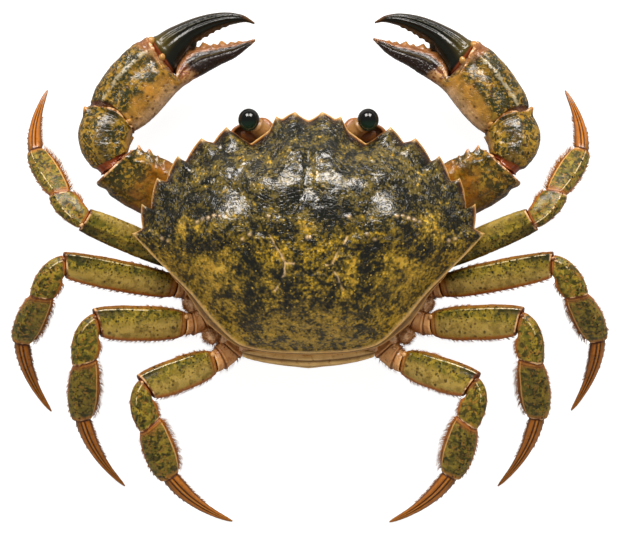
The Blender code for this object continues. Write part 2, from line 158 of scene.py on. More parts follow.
def even_rows(line, values, rows):
    """Reads values smoothly along a line in even steps: how far along each step is, and what is there."""
    run = run_along(line)
    wanted = np.linspace(0.0, run[-1], rows)
    return wanted, smooth(run, values, wanted)


def ease(value, low, high):
    """An s-curve that is 0 at low and 1 at high; high may be the smaller one."""
    share = np.clip((value - low) / (high - low), 0.0, 1.0)
    return share * share * (3.0 - 2.0 * share)


def hill(value, middle, width):
    """A bell curve of height 1."""
    return np.exp(-(((value - middle) / width) ** 2))


def hills(value, *rows):
    """A sum of hills and dips: (height, middle, width) of each."""
    return sum(height * hill(value, middle, width) for height, middle, width in rows)


def unit(vectors):
    return vectors / np.maximum(np.linalg.norm(vectors, axis=-1, keepdims=True), 1e-9)


def heading(degrees, rise=0.0):
    """A unit vector that points out sideways, turned towards the tail, and rises by that slope."""
    angle = math.radians(degrees)
    return unit(np.array((math.cos(angle), math.sin(angle), rise)))


def circle(count):
    """The cosines and sines of even turns round a circle."""
    angle = np.arange(count) / count * 2.0 * np.pi
    return np.cos(angle), np.sin(angle)


def folded(points):
    """The places in plan, with the crab's right laid over onto its left."""
    return np.stack((np.abs(points[..., 0]), points[..., 1]), axis=-1)


def both_sides(half):
    """The line of one side, and then its mirror image back along the other side."""
    return np.concatenate((half, (half * np.array((-1.0, 1.0)))[-2:0:-1]))


def softened(line):
    """A closed line with each point drawn halfway to the middle of its neighbours."""
    return (np.roll(line, 1, axis=0) + 2.0 * line + np.roll(line, -1, axis=0)) / 4.0


def distance_to_line(flat, line):
    """Distance in plan from each point to a row of straight stretches."""
    nearest = np.full(flat.shape[:-1], 1e9)
    line = np.array(line, float)
    for start, end in zip(line, line[1:]):
        along = end - start
        share = np.clip(((flat - start) @ along) / (along @ along), 0.0, 1.0)
        nearest = np.minimum(nearest, np.linalg.norm(flat - start - share[..., None] * along, axis=-1))
    return nearest


def ovals(both, rows):
    """A soft oval hill for each row of (x, y, half width, half depth, height)."""
    for x, y, wide, deep, height in rows:
        yield height * np.exp(-(((both[..., 0] - x) / wide) ** 2 + ((both[..., 1] - y) / deep) ** 2))


def dots(both, spots, radius):
    """The strongest of several small round hills of height 1."""
    return np.max([hill(np.hypot(both[..., 0] - x, both[..., 1] - y), 0.0, radius) for x, y in spots], axis=0)


# ---------------------------------------------------------------- closed shapes from rings of points

# place and marks are three values for each point, for the finishes to read. place says where on the plate
# the point lies. marks says how much it is of a rim, of a socket or seam, and of a spine or tooth.
Shape = namedtuple("Shape", "points quads triangles place marks")
# Rings of points with the direction out of the skin at each, still to be closed to a shape.
Plate = namedtuple("Plate", "rings normal place marks")


def outward(rings):
    """The direction out of a tube of rings: across the step to the next ring and the step along the ring,
    turned away from the ring's middle."""
    along = np.gradient(rings, axis=0)
    around = np.roll(rings, -1, axis=1) - np.roll(rings, 1, axis=1)
    normal = unit(np.cross(around, along))
    away = rings - rings.mean(axis=1, keepdims=True)
    facing = np.sign(np.einsum("ijk,ijk->i", normal, away))
    return normal * np.where(facing == 0.0, 1.0, facing)[:, None, None]


def volume(points, quads, triangles):
    corners = np.concatenate((quads[:, [0, 1, 2]], quads[:, [0, 2, 3]], triangles))
    first, second, third = (points[corners[:, order]] for order in range(3))
    return np.einsum("ij,ij->i", first, np.cross(second, third)).sum()


def from_rings(rings, place, marks):
    """A closed shape: each ring of points joins the next, and the two end rings close on their middles.
    Its faces are turned so that the enclosed volume is positive."""
    rows, around = rings.shape[:2]
    index = np.arange(rows * around).reshape(rows, around)
    ahead = np.roll(index, -1, axis=1)
    quads = np.stack((index[:-1], ahead[:-1], ahead[1:], index[1:]), axis=-1).reshape(-1, 4)
    poles = (rows * around, rows * around + 1)
    first = np.column_stack((ahead[0], index[0], np.full(around, poles[0])))
    last = np.column_stack((index[-1], ahead[-1], np.full(around, poles[1])))
    triangles = np.concatenate((first, last))

    def flat(values):
        return np.concatenate((values.reshape(-1, 3), values[:1].mean(axis=1), values[-1:].mean(axis=1)))

    points = flat(rings)
    centred = points - points.mean(axis=0)
    if volume(centred, quads, triangles) < 0.0:
        quads, triangles = quads[:, ::-1], triangles[:, ::-1]
    return Shape(points, quads, triangles, flat(place), flat(marks))


def shape_of(plate):
    return from_rings(plate.rings, plate.place, plate.marks)


def plate_of(rings, along, side, high):
    """A plate without marks, whose place is how far along, which side and how high in the section."""
    place = np.stack(np.broadcast_arrays(along, side, high), axis=-1)
    return Plate(rings, outward(rings), place, no_marks(rings))


def parts_of(place):
    """The three values of each point, one array for each."""
    return (place[..., axis] for axis in range(3))


def no_marks(rings):
    return np.zeros_like(rings)


def raised(plate, relief):
    """The plate with its skin moved out by the relief."""
    return plate._replace(rings=plate.rings + plate.normal * relief[..., None])


def grown(plate, relief):
    """The plate with its skin moved out by the relief, except inside its socket."""
    return raised(plate, relief * (1.0 - plate.marks[..., 1]))


def spiked(plate, spikes, blunt=1.4):
    """The plate with its skin pulled out into points: within a radius of each spike's root it moves along
    the spike, by a share that falls to nothing at the radius. The pulled part is marked as a tip."""
    rings, marks = plate.rings, plate.marks.copy()
    for root, radius, pull in spikes:
        away = np.linalg.norm(rings - np.array(root, float), axis=-1)
        share = np.clip(1.0 - away / radius, 0.0, 1.0) ** blunt
        rings = rings + share[..., None] * np.array(pull, float)
        marks[..., 2] = np.maximum(marks[..., 2], share)
    return plate._replace(rings=rings, marks=marks)


def joined(shapes):
    """Several shapes as one, their faces counted on."""
    starts = np.cumsum([0] + [len(shape.points) for shape in shapes[:-1]])
    counted = [
        shape._replace(quads=shape.quads + start, triangles=shape.triangles + start)
        for shape, start in zip(shapes, starts)
    ]
    return Shape(*(np.concatenate(arrays) for arrays in zip(*counted)))


def mirrored(shape):
    """The same shape on the crab's right: x changes sign, and each face is turned round."""
    points = shape.points * np.array((-1.0, 1.0, 1.0))
    return shape._replace(points=points, quads=shape.quads[:, ::-1], triangles=shape.triangles[:, ::-1])


def add_piece(name, shapes, finish, slot, nodes=(), side="left", patches=None):
    """Makes one mesh object from shapes in body millimetres, gives it its finish and ties it to the body.
    patches is one flat place for each point, for a piece of bristles."""
    shape = joined(shapes)
    if side == "right":
        shape = mirrored(shape)
    mesh = bpy.data.meshes.new(name)
    points = ((shape.points + SHIFT) * MM).astype(np.float32)
    corners = np.concatenate((shape.quads.ravel(), shape.triangles.ravel())).astype(np.int32)
    sizes = np.concatenate((np.full(len(shape.quads), 4), np.full(len(shape.triangles), 3)))
    starts = (np.cumsum(sizes) - sizes).astype(np.int32)
    mesh.vertices.add(len(points))
    mesh.vertices.foreach_set("co", points.ravel())
    mesh.loops.add(len(corners))
    mesh.loops.foreach_set("vertex_index", corners)
    mesh.polygons.add(len(sizes))
    mesh.polygons.foreach_set("loop_start", starts)
    mesh.update(calc_edges=True)
    mesh.shade_smooth()
    for label, values in (("place", shape.place), ("marks", shape.marks)):
        attribute = mesh.attributes.new(label, "FLOAT_VECTOR", "POINT")
        attribute.data.foreach_set("vector", values.astype(np.float32).ravel())
    if patches is not None:
        layer = mesh.uv_layers.new(name="OFBake")
        layer.data.foreach_set("uv", patches[corners].astype(np.float32).ravel())
    mesh.materials.append(finish)
    item = bpy.data.objects.new(name, mesh)
    bpy.context.scene.collection.objects.link(item)
    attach(item, "root")
    if nodes:
        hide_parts(*nodes)


def tube(centres, across, upward, around, power=2.3, lean=0.0):
    """Rings of a tube: each is a rounded box section (a superellipse of that power) spanned by two half
    axes, whose crest leans against the across direction by that part of the width. Returns the rings
    and, for each point, its side (-1 where across ends, 1 opposite) and its height in the section."""
    wide, high = (np.sign(turn) * np.abs(turn) ** (2.0 / power) for turn in circle(around))
    leaning = wide - lean * np.maximum(high, 0.0) ** 2
    rings = centres[:, None] + across[:, None] * leaning[:, None] + upward[:, None] * high[:, None]
    rows = len(centres)
    return rings, np.tile(-wide, (rows, 1)), np.tile(high, (rows, 1))


def sphere_angles(rows):
    """Even angles from pole to pole, with the poles themselves left out."""
    return np.linspace(0.0, np.pi, rows + 2)[1:-1]


def ellipsoid(centre, radii, axis=UP, rows=24, around=32):
    """An egg shape: rings along an axis, their size falling off as a circle does."""
    axis = unit(np.array(axis, float))
    aside = unit(np.cross(axis, (0.3, 0.9, 0.2)))
    third = np.cross(axis, aside)
    polar = sphere_angles(rows)
    cosine, sine = circle(around)
    flat = cosine[:, None] * aside * radii[0] + sine[:, None] * third * radii[1]
    rings = np.sin(polar)[:, None, None] * flat - np.cos(polar)[:, None, None] * axis * radii[2]
    place = np.zeros_like(rings)
    place[..., 0] = (polar / np.pi)[:, None]
    return from_rings(rings + np.array(centre), place, no_marks(rings))


# ---------------------------------------------------------------- the shell (carapace)

SHELL_STEPS = 0.42
SHELL_ROWS = 150
KNOB_RADIUS = 0.34
# Swellings of the back, on both sides: middle, half sizes and height.
SWELLINGS = (
    (7.9, -11.5, 5.4, 4.2, 1.1), (3.0, -18.5, 2.3, 1.9, 0.35), (20.0, -13.0, 4.0, 3.4, 0.35),
    (19.0, -2.3, 5.8, 4.7, 1.2), (19.5, 8.0, 7.5, 6.5, 0.55), (0.0, -1.5, 4.6, 5.5, 0.45),
    (0.0, 13.0, 4.4, 4.2, 0.6), (10.5, 18.5, 4.0, 4.2, 0.3), (13.3, -17.4, 2.4, 1.6, 0.35),
    (28.5, -4.0, 3.6, 4.2, 0.3), (10.8, 1.5, 1.3, 1.1, 0.4),
)
# Where the wrinkles run in rings: middle and half sizes.
RING_CENTRES = (
    (7.4, -11.2, 1.5, 1.0), (16.9, -4.8, 1.0, 1.2), (4.6, -15.8, 1.1, 1.0), (25.5, -11.5, 1.0, 1.3),
    (0.0, -21.0, 1.2, 1.0),
)
# Where the skin between the wrinkles is smoothest: middle, half sizes and strength.
CALM = ((7.4, -11.2, 5.0, 3.0, 1.0), (17.4, -4.4, 4.0, 4.0, 1.0))
# The two lines of the pale mark on the back, and all its grooves: line in plan, depth and half width.
PALE_LINES = (
    ((8.6, 0.8), (7.6, 2.8), (5.5, 6.4), (5.8, 9.4), (7.6, 12.8)),
    ((5.5, 6.6), (4.2, 7.0), (3.4, 6.9)),
)
GROOVES = (
    (PALE_LINES[0], 0.42, 0.6),
    (((7.6, 12.8), (8.6, 16.5), (8.2, 21.5)), 0.22, 1.3),
    (((8.6, 0.8), (12.5, -2.2), (14.0, -8.0), (18.5, -10.4), (25.0, -9.0)), 0.38, 1.5),
    (((0.0, -26.0), (0.0, -16.5)), 0.4, 0.9),
    (((0.0, -16.5), (0.6, -10.0), (3.2, -6.0), (4.6, 1.5)), 0.4, 1.1),
    (((0.7, 9.0), (1.7, 8.4), (3.6, 8.9)), 0.3, 0.5),
    (((5.4, 9.5), (4.4, 10.6)), 0.15, 0.4),
    (PALE_LINES[1], 0.15, 0.4),
    (((10.2, -22.5), (11.4, -19.6)), 0.35, 0.4),
)
# Small raised pale knobs of the back, on both sides.
KNOBS = (
    (19.3, -3.6), (20.7, -3.7), (22.0, -3.2), (23.4, -2.9), (24.6, -2.4), (9.0, -3.6), (13.0, 0.3),
    (33.1, 1.2), (31.6, 1.7), (0.3, 1.0), (14.6, 1.3),
)
# Patches of colour on the back, on both sides: middle, half sizes and strength.
YELLOW_PATCHES = (
    (20.9, 6.3, 4.4, 3.6, 1.0), (17.6, 11.0, 4.0, 3.6, 0.8), (27.8, -1.6, 3.4, 2.4, 0.9),
    (0.0, -1.6, 2.2, 3.2, 0.9), (25.2, -10.8, 1.6, 1.9, 0.55), (13.6, 0.6, 2.0, 1.2, 0.7),
    (15.5, -16.1, 5.0, 1.1, 0.5), (3.2, 5.2, 3.6, 2.4, 0.6), (9.6, 4.6, 2.2, 4.6, 0.65),
    (6.0, 18.5, 3.5, 3.5, 0.6), (9.0, 12.5, 1.8, 2.6, 0.6), (0.0, 22.0, 3.0, 2.5, 0.4),
)
DARK_PATCHES = (
    (13.6, 7.0, 1.9, 6.0, 0.9), (12.8, 17.0, 2.4, 3.6, 0.6), (24.0, 3.2, 3.6, 1.7, 0.7),
    (3.7, 15.9, 1.9, 1.7, 0.85), (18.8, 14.2, 1.8, 1.3, 0.6), (12.7, 20.6, 2.0, 1.4, 0.6),
    (4.0, -5.5, 4.5, 2.6, 0.8), (10.2, 2.4, 1.3, 1.1, 0.8), (22.5, -7.5, 5.0, 3.0, 0.5),
    (32.0, -4.0, 2.6, 4.0, 0.6), (0.0, 8.0, 1.6, 1.3, 0.5), (6.8, -22.0, 3.0, 2.0, 0.4),
)


def patches_at(flat, patches):
    """The strongest of several soft oval patches, on both sides of the middle line."""
    return np.max(list(ovals(folded(flat), patches)), axis=0)


def wrinkle_rings(both, points):
    """How far out each point lies among the rings of wrinkles: the distance to the nearest ring centre,
    blended where two systems meet, and swayed by noise that grows outwards."""
    total = 0.0
    for x, y, wide, deep in RING_CENTRES:
        total = total + np.exp(-np.hypot((both[..., 0] - x) / wide, (both[..., 1] - y) / deep))
    out = -np.log(total)
    return out + (0.5 + 0.1 * np.clip(out, 0.0, 8.0)) * rough(points, 2.0, 3, 161)


def shell_outline():
    """The margin as even steps: from tip to notch the edge bows out, from notch to tip it bows in, and
    behind the last tooth it is one smooth curve. Beside it runs the toothless margin, with each tip moved
    to the middle of its neighbours, and how far behind the last tooth each point is."""
    half = np.array([FRONT_MIDDLE, *MARGIN, REAR_MIDDLE])
    base = half.copy()
    for tip in MARGIN_TIPS:
        base[tip + 1] = (half[tip] + half[tip + 2]) / 2.0
    edge, even, fixed = [], [], []
    for order in range(LAST_TOOTH + 1):
        start, end = half[order], half[order + 1]
        count = max(int(round(np.linalg.norm(end - start) / SHELL_STEPS)), 4)
        share = (np.arange(count) / count)[:, None]
        aside = np.array((end[1] - start[1], start[0] - end[0]))
        falling = order - 1 in MARGIN_TIPS
        bow = 0.0 if order in SOCKET_STRETCHES else FALLING_BOW if falling else RISING_BOW
        edge.append(start + (end - start) * share + aside * bow * 4.0 * share * (1.0 - share))
        even.append(base[order] + (base[order + 1] - base[order]) * share)
        fixed.append((np.arange(count) == 0) & falling)
    rear = half[LAST_TOOTH + 1 :]
    run = run_along(rear)
    wanted, curve = even_rows(rear, rear, int(run[-1] / SHELL_STEPS))
    blend = ease(wanted, 0.0, run[1])[:, None]
    edge.append(curve)
    even.append(curve * blend + (curve + (base[LAST_TOOTH + 1] - half[LAST_TOOTH + 1])) * (1.0 - blend))
    fixed.append(np.arange(len(wanted)) == 0)
    edge, even, fixed = (np.concatenate(part) for part in (edge, even, fixed))
    behind = np.concatenate((np.zeros(len(edge) - len(wanted)), wanted))
    edge, even = both_sides(edge), both_sides(even)
    fixed, behind = (np.concatenate((part, part[-2:0:-1])) for part in (fixed, behind))
    edge = np.where(fixed[:, None], edge, softened(edge))
    for _ in range(60):
        even = softened(even)
    return edge, even, behind


def shell_relief(flat, points, part, from_edge, behind):
    """How far the shell's skin stands out: swellings and grooves of the regions, rounded grains that are
    coarse in front and fade behind, a raised bead along the rear margin, and small knobs."""
    both = folded(flat)
    relief = sum(ovals(both, SWELLINGS))
    for line, depth, width in GROOVES:
        relief -= depth * hill(distance_to_line(both, line), 0.0, width)
    inner = ease(from_edge, 0.0, 3.5)
    relief *= inner
    coarse = ease(flat[..., 1], 16.0, -4.0)
    wander = points + 0.35 * rough(points, 2.0, 2, 5)[..., None]
    calm = 1.0 - 0.8 * patches_at(flat, CALM)
    cover = 0.4 + 0.6 * inner
    relief += calm * (0.03 + 0.03 * coarse) * grains(wander, 1.05, 3, (1.1, 0.8, 1.0)) * cover
    relief += calm * 0.05 * rough(points, 1.3, 2, 21) * (0.4 + 0.6 * coarse)
    relief += calm * 0.12 * rough(points, 2.4, 2, 27) * inner
    relief += 0.16 * rough(points, 4.5, 2, 31) * inner
    bead = ease(behind, 0.5, 3.0)
    relief += bead * hills(from_edge, (0.3, 0.3, 0.26), (-0.22, 0.9, 0.35))
    for tip in MARGIN_TIPS[2:]:
        x, y = np.array(MARGIN[tip]) * 0.9 + 0.1 * SHELL_MIDDLE
        relief += 0.45 * hill(np.hypot(both[..., 0] - x, both[..., 1] - y), 0.0, 1.5) * (part < 1.0)
    knobs = dots(both, KNOBS, KNOB_RADIUS)
    return relief + 0.3 * knobs, knobs


def shell_shape():
    """The carapace: the margin drawn in to its middle ring by ring, each ring lifted onto a dome whose
    height falls as a power of the way out, with the teeth fading a little way in, and below the margin
    a thin slope down to a flat hidden floor. Behind the last teeth a second rim stands out below."""
    edge, even, behind = shell_outline()
    steps = (np.arange(SHELL_ROWS) + 0.5) / SHELL_ROWS
    upper = np.concatenate((steps[:-1], (0.994, 1.0)))
    lower = np.array((0.994, 0.985, 0.97, 0.95, 0.93, 0.9, 0.87, 0.84, 0.8, 0.7, 0.5, 0.25))
    part = np.concatenate((upper, lower))
    out = part[:, None]
    tooth = smooth((0.0, 0.7, 0.86, 0.94, 1.0), (0.0, 0.0, 0.08, 0.45, 1.0), part)
    flat = SHELL_MIDDLE + out[..., None] * (even + tooth[:, :, None] * (edge - even) - SHELL_MIDDLE)
    margin_height = MARGIN_HEIGHT + MARGIN_PITCH * edge[:, 1]
    dome = margin_height + (SHELL_TOP - margin_height) * (1.0 - out**SHELL_FULLNESS)
    drop = smooth((0.5, 0.84, 0.95, 0.985, 0.994, 1.0), (9.0, 9.0, 1.7, 0.55, 0.35, 0.0), part)
    below = np.maximum(margin_height - drop, SHELL_BELOW)
    is_upper = (np.arange(len(part)) < len(upper))[:, None]
    skirt = ease(behind, 8.0, 14.0)
    lip = smooth((0.25, 0.9, 0.93, 0.95, 0.97, 0.985, 0.994), (0.0, 0.0, 0.4, 0.95, 1.0, 0.8, 0.3), part)
    lip = np.where(is_upper, 0.0, lip * skirt)[..., None]
    reach = 0.3 + 1.1 * hill(behind, 26.0, 6.5)
    flat = flat * (1.0 - lip) + (edge + unit(edge - SHELL_MIDDLE) * reach[:, None]) * lip
    rings = np.concatenate((flat, np.where(is_upper, dome, below)[..., None]), axis=-1)
    from_edge = np.linalg.norm(flat - edge, axis=-1)
    normal = outward(rings)
    normal *= np.where((normal[..., 2:] < 0.0) & is_upper[..., None], -1.0, 1.0)
    relief, knobs = shell_relief(flat, rings, out, from_edge, behind)
    relief = np.where(is_upper, relief, 0.05 * grains(rings, 0.6, 11)) * ease(from_edge, 0.0, 0.25)
    rings = rings + normal * relief[..., None]
    both = folded(flat)
    sway = np.stack((rough(rings, 3.2, 3, 141), rough(rings, 3.2, 3, 143)), axis=-1)
    yellow, dark = (patches_at(flat + 1.5 * sway, patches) for patches in (YELLOW_PATCHES, DARK_PATCHES))
    line_out = np.minimum(*(distance_to_line(both + 0.55 * sway, line) for line in PALE_LINES))
    broken = ease(rough(rings, 1.6, 2, 147), -0.5, 0.1)
    pale = np.maximum(knobs * (0.4 + 0.6 * broken), 0.9 * hill(line_out, 0.0, 0.17) * broken)
    rim = np.where(behind > 0.0, ease(from_edge, 0.65, 0.35), ease(from_edge, 0.36, 0.08))
    tips = SHELL_MIDDLE + 0.985 * (np.array([MARGIN[tip] for tip in MARGIN_TIPS]) - SHELL_MIDDLE)
    rim = np.maximum(rim, 0.8 * dots(both, tips, 0.55))
    lower_rim = np.where(skirt > 0.5, 0.9 * hill(out, 0.962, 0.016), 0.35 * ease(from_edge, 0.6, 0.1))
    # The third mark: 1 on the teeth, down to -1 at the rear sides, 1.62 on the second rim, 2 underneath.
    teeth = ease(from_edge, 3.2, 0.3) * (behind == 0.0)
    teeth = teeth - ease(from_edge, 10.0, 1.5) * ease(behind, 3.0, 9.0)
    underneath = np.where((skirt > 0.5) & (out > 0.98), 1.62, 2.0)
    marks = (np.where(is_upper, rim, lower_rim), pale, np.where(is_upper, teeth, underneath))
    place = np.stack((wrinkle_rings(both, rings), yellow, dark), axis=-1)
    return from_rings(rings, place, np.stack(np.broadcast_arrays(*marks), axis=-1))


# ---------------------------------------------------------------- limb plates

Leg = namedtuple("Leg", "root facing start lengths heights widths left right")
LEGS = (
    Leg((24.0, 4.2), 0.0, (28.8, 6.4), (23.9, 7.8, 12.0, 15.0), (20.5, 19.5, 10.5),
        (6.4, 6.2, 6.2, 3.4), (-23.5, -46.0, -57.0, -97.5), (-23.7, -47.5, -56.0, -101.5)),
    Leg((24.0, 11.2), 0.0, (30.6, 12.1), (25.1, 8.6, 11.8, 17.8), (21.5, 20.0, 10.5),
        (7.0, 6.3, 6.9, 3.6), (-11.2, 53.0, 62.5, 110.0), (-11.4, 51.0, 60.5, 107.5)),
    Leg((22.4, 18.1), 28.0, (28.6, 20.7), (19.3, 9.1, 13.3, 18.9), (20.5, 19.0, 10.0),
        (8.0, 6.5, 7.3, 3.6), (-1.1, 71.5, 85.0, 119.5), (-2.1, 73.5, 81.0, 117.0)),
    Leg((16.6, 24.3), 55.0, (21.9, 29.4), (16.0, 8.5, 12.9, 18.3), (19.0, 17.5, 9.5),
        (7.8, 6.1, 7.6, 3.8), (20.0, 95.0, 109.0, 142.0), (18.0, 96.5, 105.5, 140.0)),
)
HIP_HEIGHT = 10.5
MERUS_START_HEIGHT = 12.0
TIP_HEIGHT = 0.3
# How far the toe bends, in degrees, and how far the joint before the fourth plate leans inwards.
DACTYL_CURL = 17.0
JOINT_SLANT = 0.32
HIP_WIDTH = 5.9
# Where the ringed grooves lie along the hip.
HIP_GROOVES = (0.34, 0.76)
# Hinge knobs of a leg, by the plate they go with: the plate each sits on, how many rows past its nose,
# place across and radius. The knob of the thigh's hinge goes with the hip.
LEG_KNOBS = {"hip": ("merus", 1, 0.3, 0.55), "carpus": ("carpus", 2, 0.45, 0.5)}
# The hollow in a plate's far end, which starts with the rows of its rim, and the round nose that sits in
# it: (shift along, part of the size).
SOCKET = ((0.12, 0.985), (0.14, 0.95), (0.02, 0.9), (-0.35, 0.85), (-0.75, 0.66), (-0.9, 0.3))
SOCKET_RIM = 2
NOSE = ((-0.78, 0.25), (-0.72, 0.5), (-0.55, 0.7), (-0.3, 0.83), (-0.1, 0.89))
POINT = ((0.02, 0.6), (0.06, 0.2))
CLAW_POINT = ((0.0, 0.75), (0.02, 0.4))
# Sections of each leg plate: (place along it, part of its full width, depth over width).
HIP_SECTIONS = ((0.0, 1.0, 1.05), (0.35, 1.0, 1.0), (0.7, 0.88, 0.95), (1.0, 0.8, 0.95))
MERUS_SECTIONS = (
    (0.0, 0.72, 0.8), (0.12, 0.86, 0.72), (0.35, 0.98, 0.64), (0.65, 1.0, 0.62), (0.9, 0.94, 0.66),
    (1.0, 0.84, 0.7),
)
CARPUS_SECTIONS = (
    (0.0, 0.76, 0.76), (0.12, 0.8, 0.75), (0.35, 0.9, 0.72), (0.7, 1.0, 0.68), (1.0, 0.9, 0.68),
)
PROPODUS_SECTIONS = (
    (0.0, 0.78, 0.66), (0.2, 0.92, 0.6), (0.55, 1.0, 0.56), (0.85, 0.86, 0.6), (1.0, 0.64, 0.66),
)
DACTYL_SECTIONS = (
    (0.0, 1.0, 0.86), (0.15, 0.96, 0.82), (0.4, 0.76, 0.82), (0.7, 0.48, 0.9), (0.93, 0.24, 1.0),
    (1.0, 0.08, 1.0),
)
# The plates of a leg from the body outwards: sections, rows, points round, crest's lean, far end, lip
# and lowest height.
LEG_PLATES = {
    "hip": (HIP_SECTIONS, 60, 56, 0.0, SOCKET, 0.015, None),
    "merus": (MERUS_SECTIONS, 150, 72, 0.34, SOCKET, 0.015, None),
    "carpus": (CARPUS_SECTIONS, 80, 64, 0.2, SOCKET, 0.015, None),
    "propodus": (PROPODUS_SECTIONS, 100, 64, 0.15, SOCKET, 0.015, None),
    "dactyl": (DACTYL_SECTIONS, 130, 72, 0.0, POINT, 0.0, 0.0),
}


def bezier(points, share):
    """A cubic curve through the first and last of four points, drawn towards the middle two."""
    rest = 1.0 - share
    weights = (rest**3, 3.0 * rest**2 * share, 3.0 * rest * share**2, share**3)
    return sum(weight[:, None] * point for weight, point in zip(weights, points))


def with_ends(centres, across, upward, along, head, tail):
    """Adds short rows before the first and after the last: each a copy of that end, shifted along and
    scaled."""
    head, tail = np.array(head), np.array(tail)
    before, after = centres[0] + head[:, :1] * along[0], centres[-1] + tail[:, :1] * along[-1]

    def sized(half):
        return np.concatenate((head[:, 1:] * half[0], half, tail[:, 1:] * half[-1]))

    return np.concatenate((before, centres, after)), sized(across), sized(upward)


def end_values(head, first, values, last, tail):
    """A value for each row of a plate, with one for all the rows of its head and one for its tail."""
    return np.concatenate((np.full(len(head), first), values, np.full(len(tail), last)))[:, None]


def limb_plate(ends, aims, faces, sections, rows, around, lean, power, tail, lip, floor=None):
    """A bent tube between two joints. Its middle line is a cubic curve that leaves and arrives along the
    two aims, its end faces look along the two face directions, and its half width and half depth follow
    smooth curves through the sections. The far end flares into a lip around a hollow, and the near end
    is a round nose. place is (along, side, height in the section)."""
    start = ends[0] + faces[0] * GAP / 2.0
    end = ends[1] - faces[1] * GAP / 2.0
    length = np.linalg.norm(end - start)
    line = (start, start + aims[0] * length / 3.0, end - aims[1] * length / 3.0, end)
    share = np.linspace(0.0, 1.0, rows)
    ahead = unit(bezier(line, np.minimum(share + 0.02, 1.0)) - bezier(line, np.maximum(share - 0.02, 0.0)))
    first, last = ((1.0 - share) ** 3)[:, None], (share**3)[:, None]
    normal = unit(ahead * (1.0 - first - last) + faces[0] * first + faces[1] * last)
    across = unit(np.cross(UP, normal))
    upward = np.cross(normal, across)
    half = smooth([row[0] for row in sections], [row[1:] for row in sections], share)
    run = share * length
    half = half * (1.0 - 0.1 * np.exp(-run / 0.5) + lip * hill(length - run, 0.25, 0.35))[:, None]
    spine = with_ends(bezier(line, share), across * half[:, :1], upward * half[:, 1:], normal, NOSE, tail)
    rings, side, high = tube(*spine, around, power, lean)
    if floor is not None:
        rings[..., 2] = np.maximum(rings[..., 2], floor)
    plate = plate_of(rings, end_values(NOSE, 0.0, share, 1.0, tail), side, high)
    marks = plate.marks
    marks[..., 1] = end_values(NOSE, 1.0, ease(run, 0.45, 0.0), 0.0, tail)
    if tail is SOCKET:
        marks[..., 0] = end_values(NOSE, 0.0, ease(length - run, 0.32, 0.08), 0.0, tail)
        hollow = len(marks) - len(tail) + SOCKET_RIM
        marks[hollow - SOCKET_RIM : hollow, :, 0] = 1.0
        marks[hollow:, :, 1] = 1.0
    return plate


def skin_grain(points):
    """The fine uneven skin of a limb: slow waves, small grains and finer pits, in millimetres."""
    slow = 0.05 * rough(points, 3.5, 2, 41)
    return slow + 0.03 * grains(points, 0.9, 47) + 0.02 * rough(points, 1.1, 1, 53)


def leg_relief(kind, plate):
    """What stands out on a leg plate: a carina in front of the crest, edge beads, an edge crease, or the
    long grooves of the toe."""
    along, side, high = parts_of(plate.place)
    top = ease(high, -0.1, 0.3)
    relief = skin_grain(plate.rings)
    relief += ease(np.abs(side), 0.86, 0.99) * 0.09 * grains(plate.rings, 0.55, 61)
    if kind == "merus":
        relief += top * hills(side, (0.3, 0.47, 0.1), (-0.16, 0.72, 0.13)) * ease(along, 0.06, 0.3)
        relief -= hills(along, (0.1, 0.11, 0.012), (0.08, 0.05, 0.01))
    if kind == "carpus":
        relief += top * hills(side, (0.26, 0.3, 0.12), (-0.1, -0.15, 0.14))
    if kind == "propodus":
        relief += hills(side, (0.12, -0.86, 0.05), (-0.16, -0.95, 0.05))
        relief += top * 0.2 * hill(side, 0.25, 0.12)
    if kind == "hip":
        bent = along + 0.04 * side + 0.02 * rough(plate.rings, 2.0, 2, 63)
        for groove in HIP_GROOVES:
            relief += hills(bent, (0.3, groove - 0.07, 0.06), (-0.4, groove, 0.022))
    if kind == "dactyl":
        ridges = hills(side, (0.13, 0.0, 0.1), (-0.2, 0.24, 0.11), (-0.2, -0.24, 0.11))
        ridges += hills(side, (0.06, 0.55, 0.15), (0.06, -0.55, 0.15))
        relief = 0.4 * relief + ridges * ease(along, 1.0, 0.55) * ease(along, 0.02, 0.1)
        relief -= 0.07 * hill(np.abs(side), 0.86, 0.05)
    return relief


def knob_on(plate, row, side, radius):
    """A small round knob on a plate's upper face, at one row and one place across. It takes the rim's
    colours, whose cream stands in partly for a painted highlight on the hinge.
    """
    misfit = np.abs(plate.place[row, :, 1] - side) + 2.0 * (plate.place[row, :, 2] < 0.0)
    knob = ellipsoid(plate.rings[row, int(np.argmin(misfit))], (radius, radius, 0.8 * radius), UP, 16, 20)
    return knob._replace(marks=np.full_like(knob.marks, (1.0, 0.0, 0.0)))


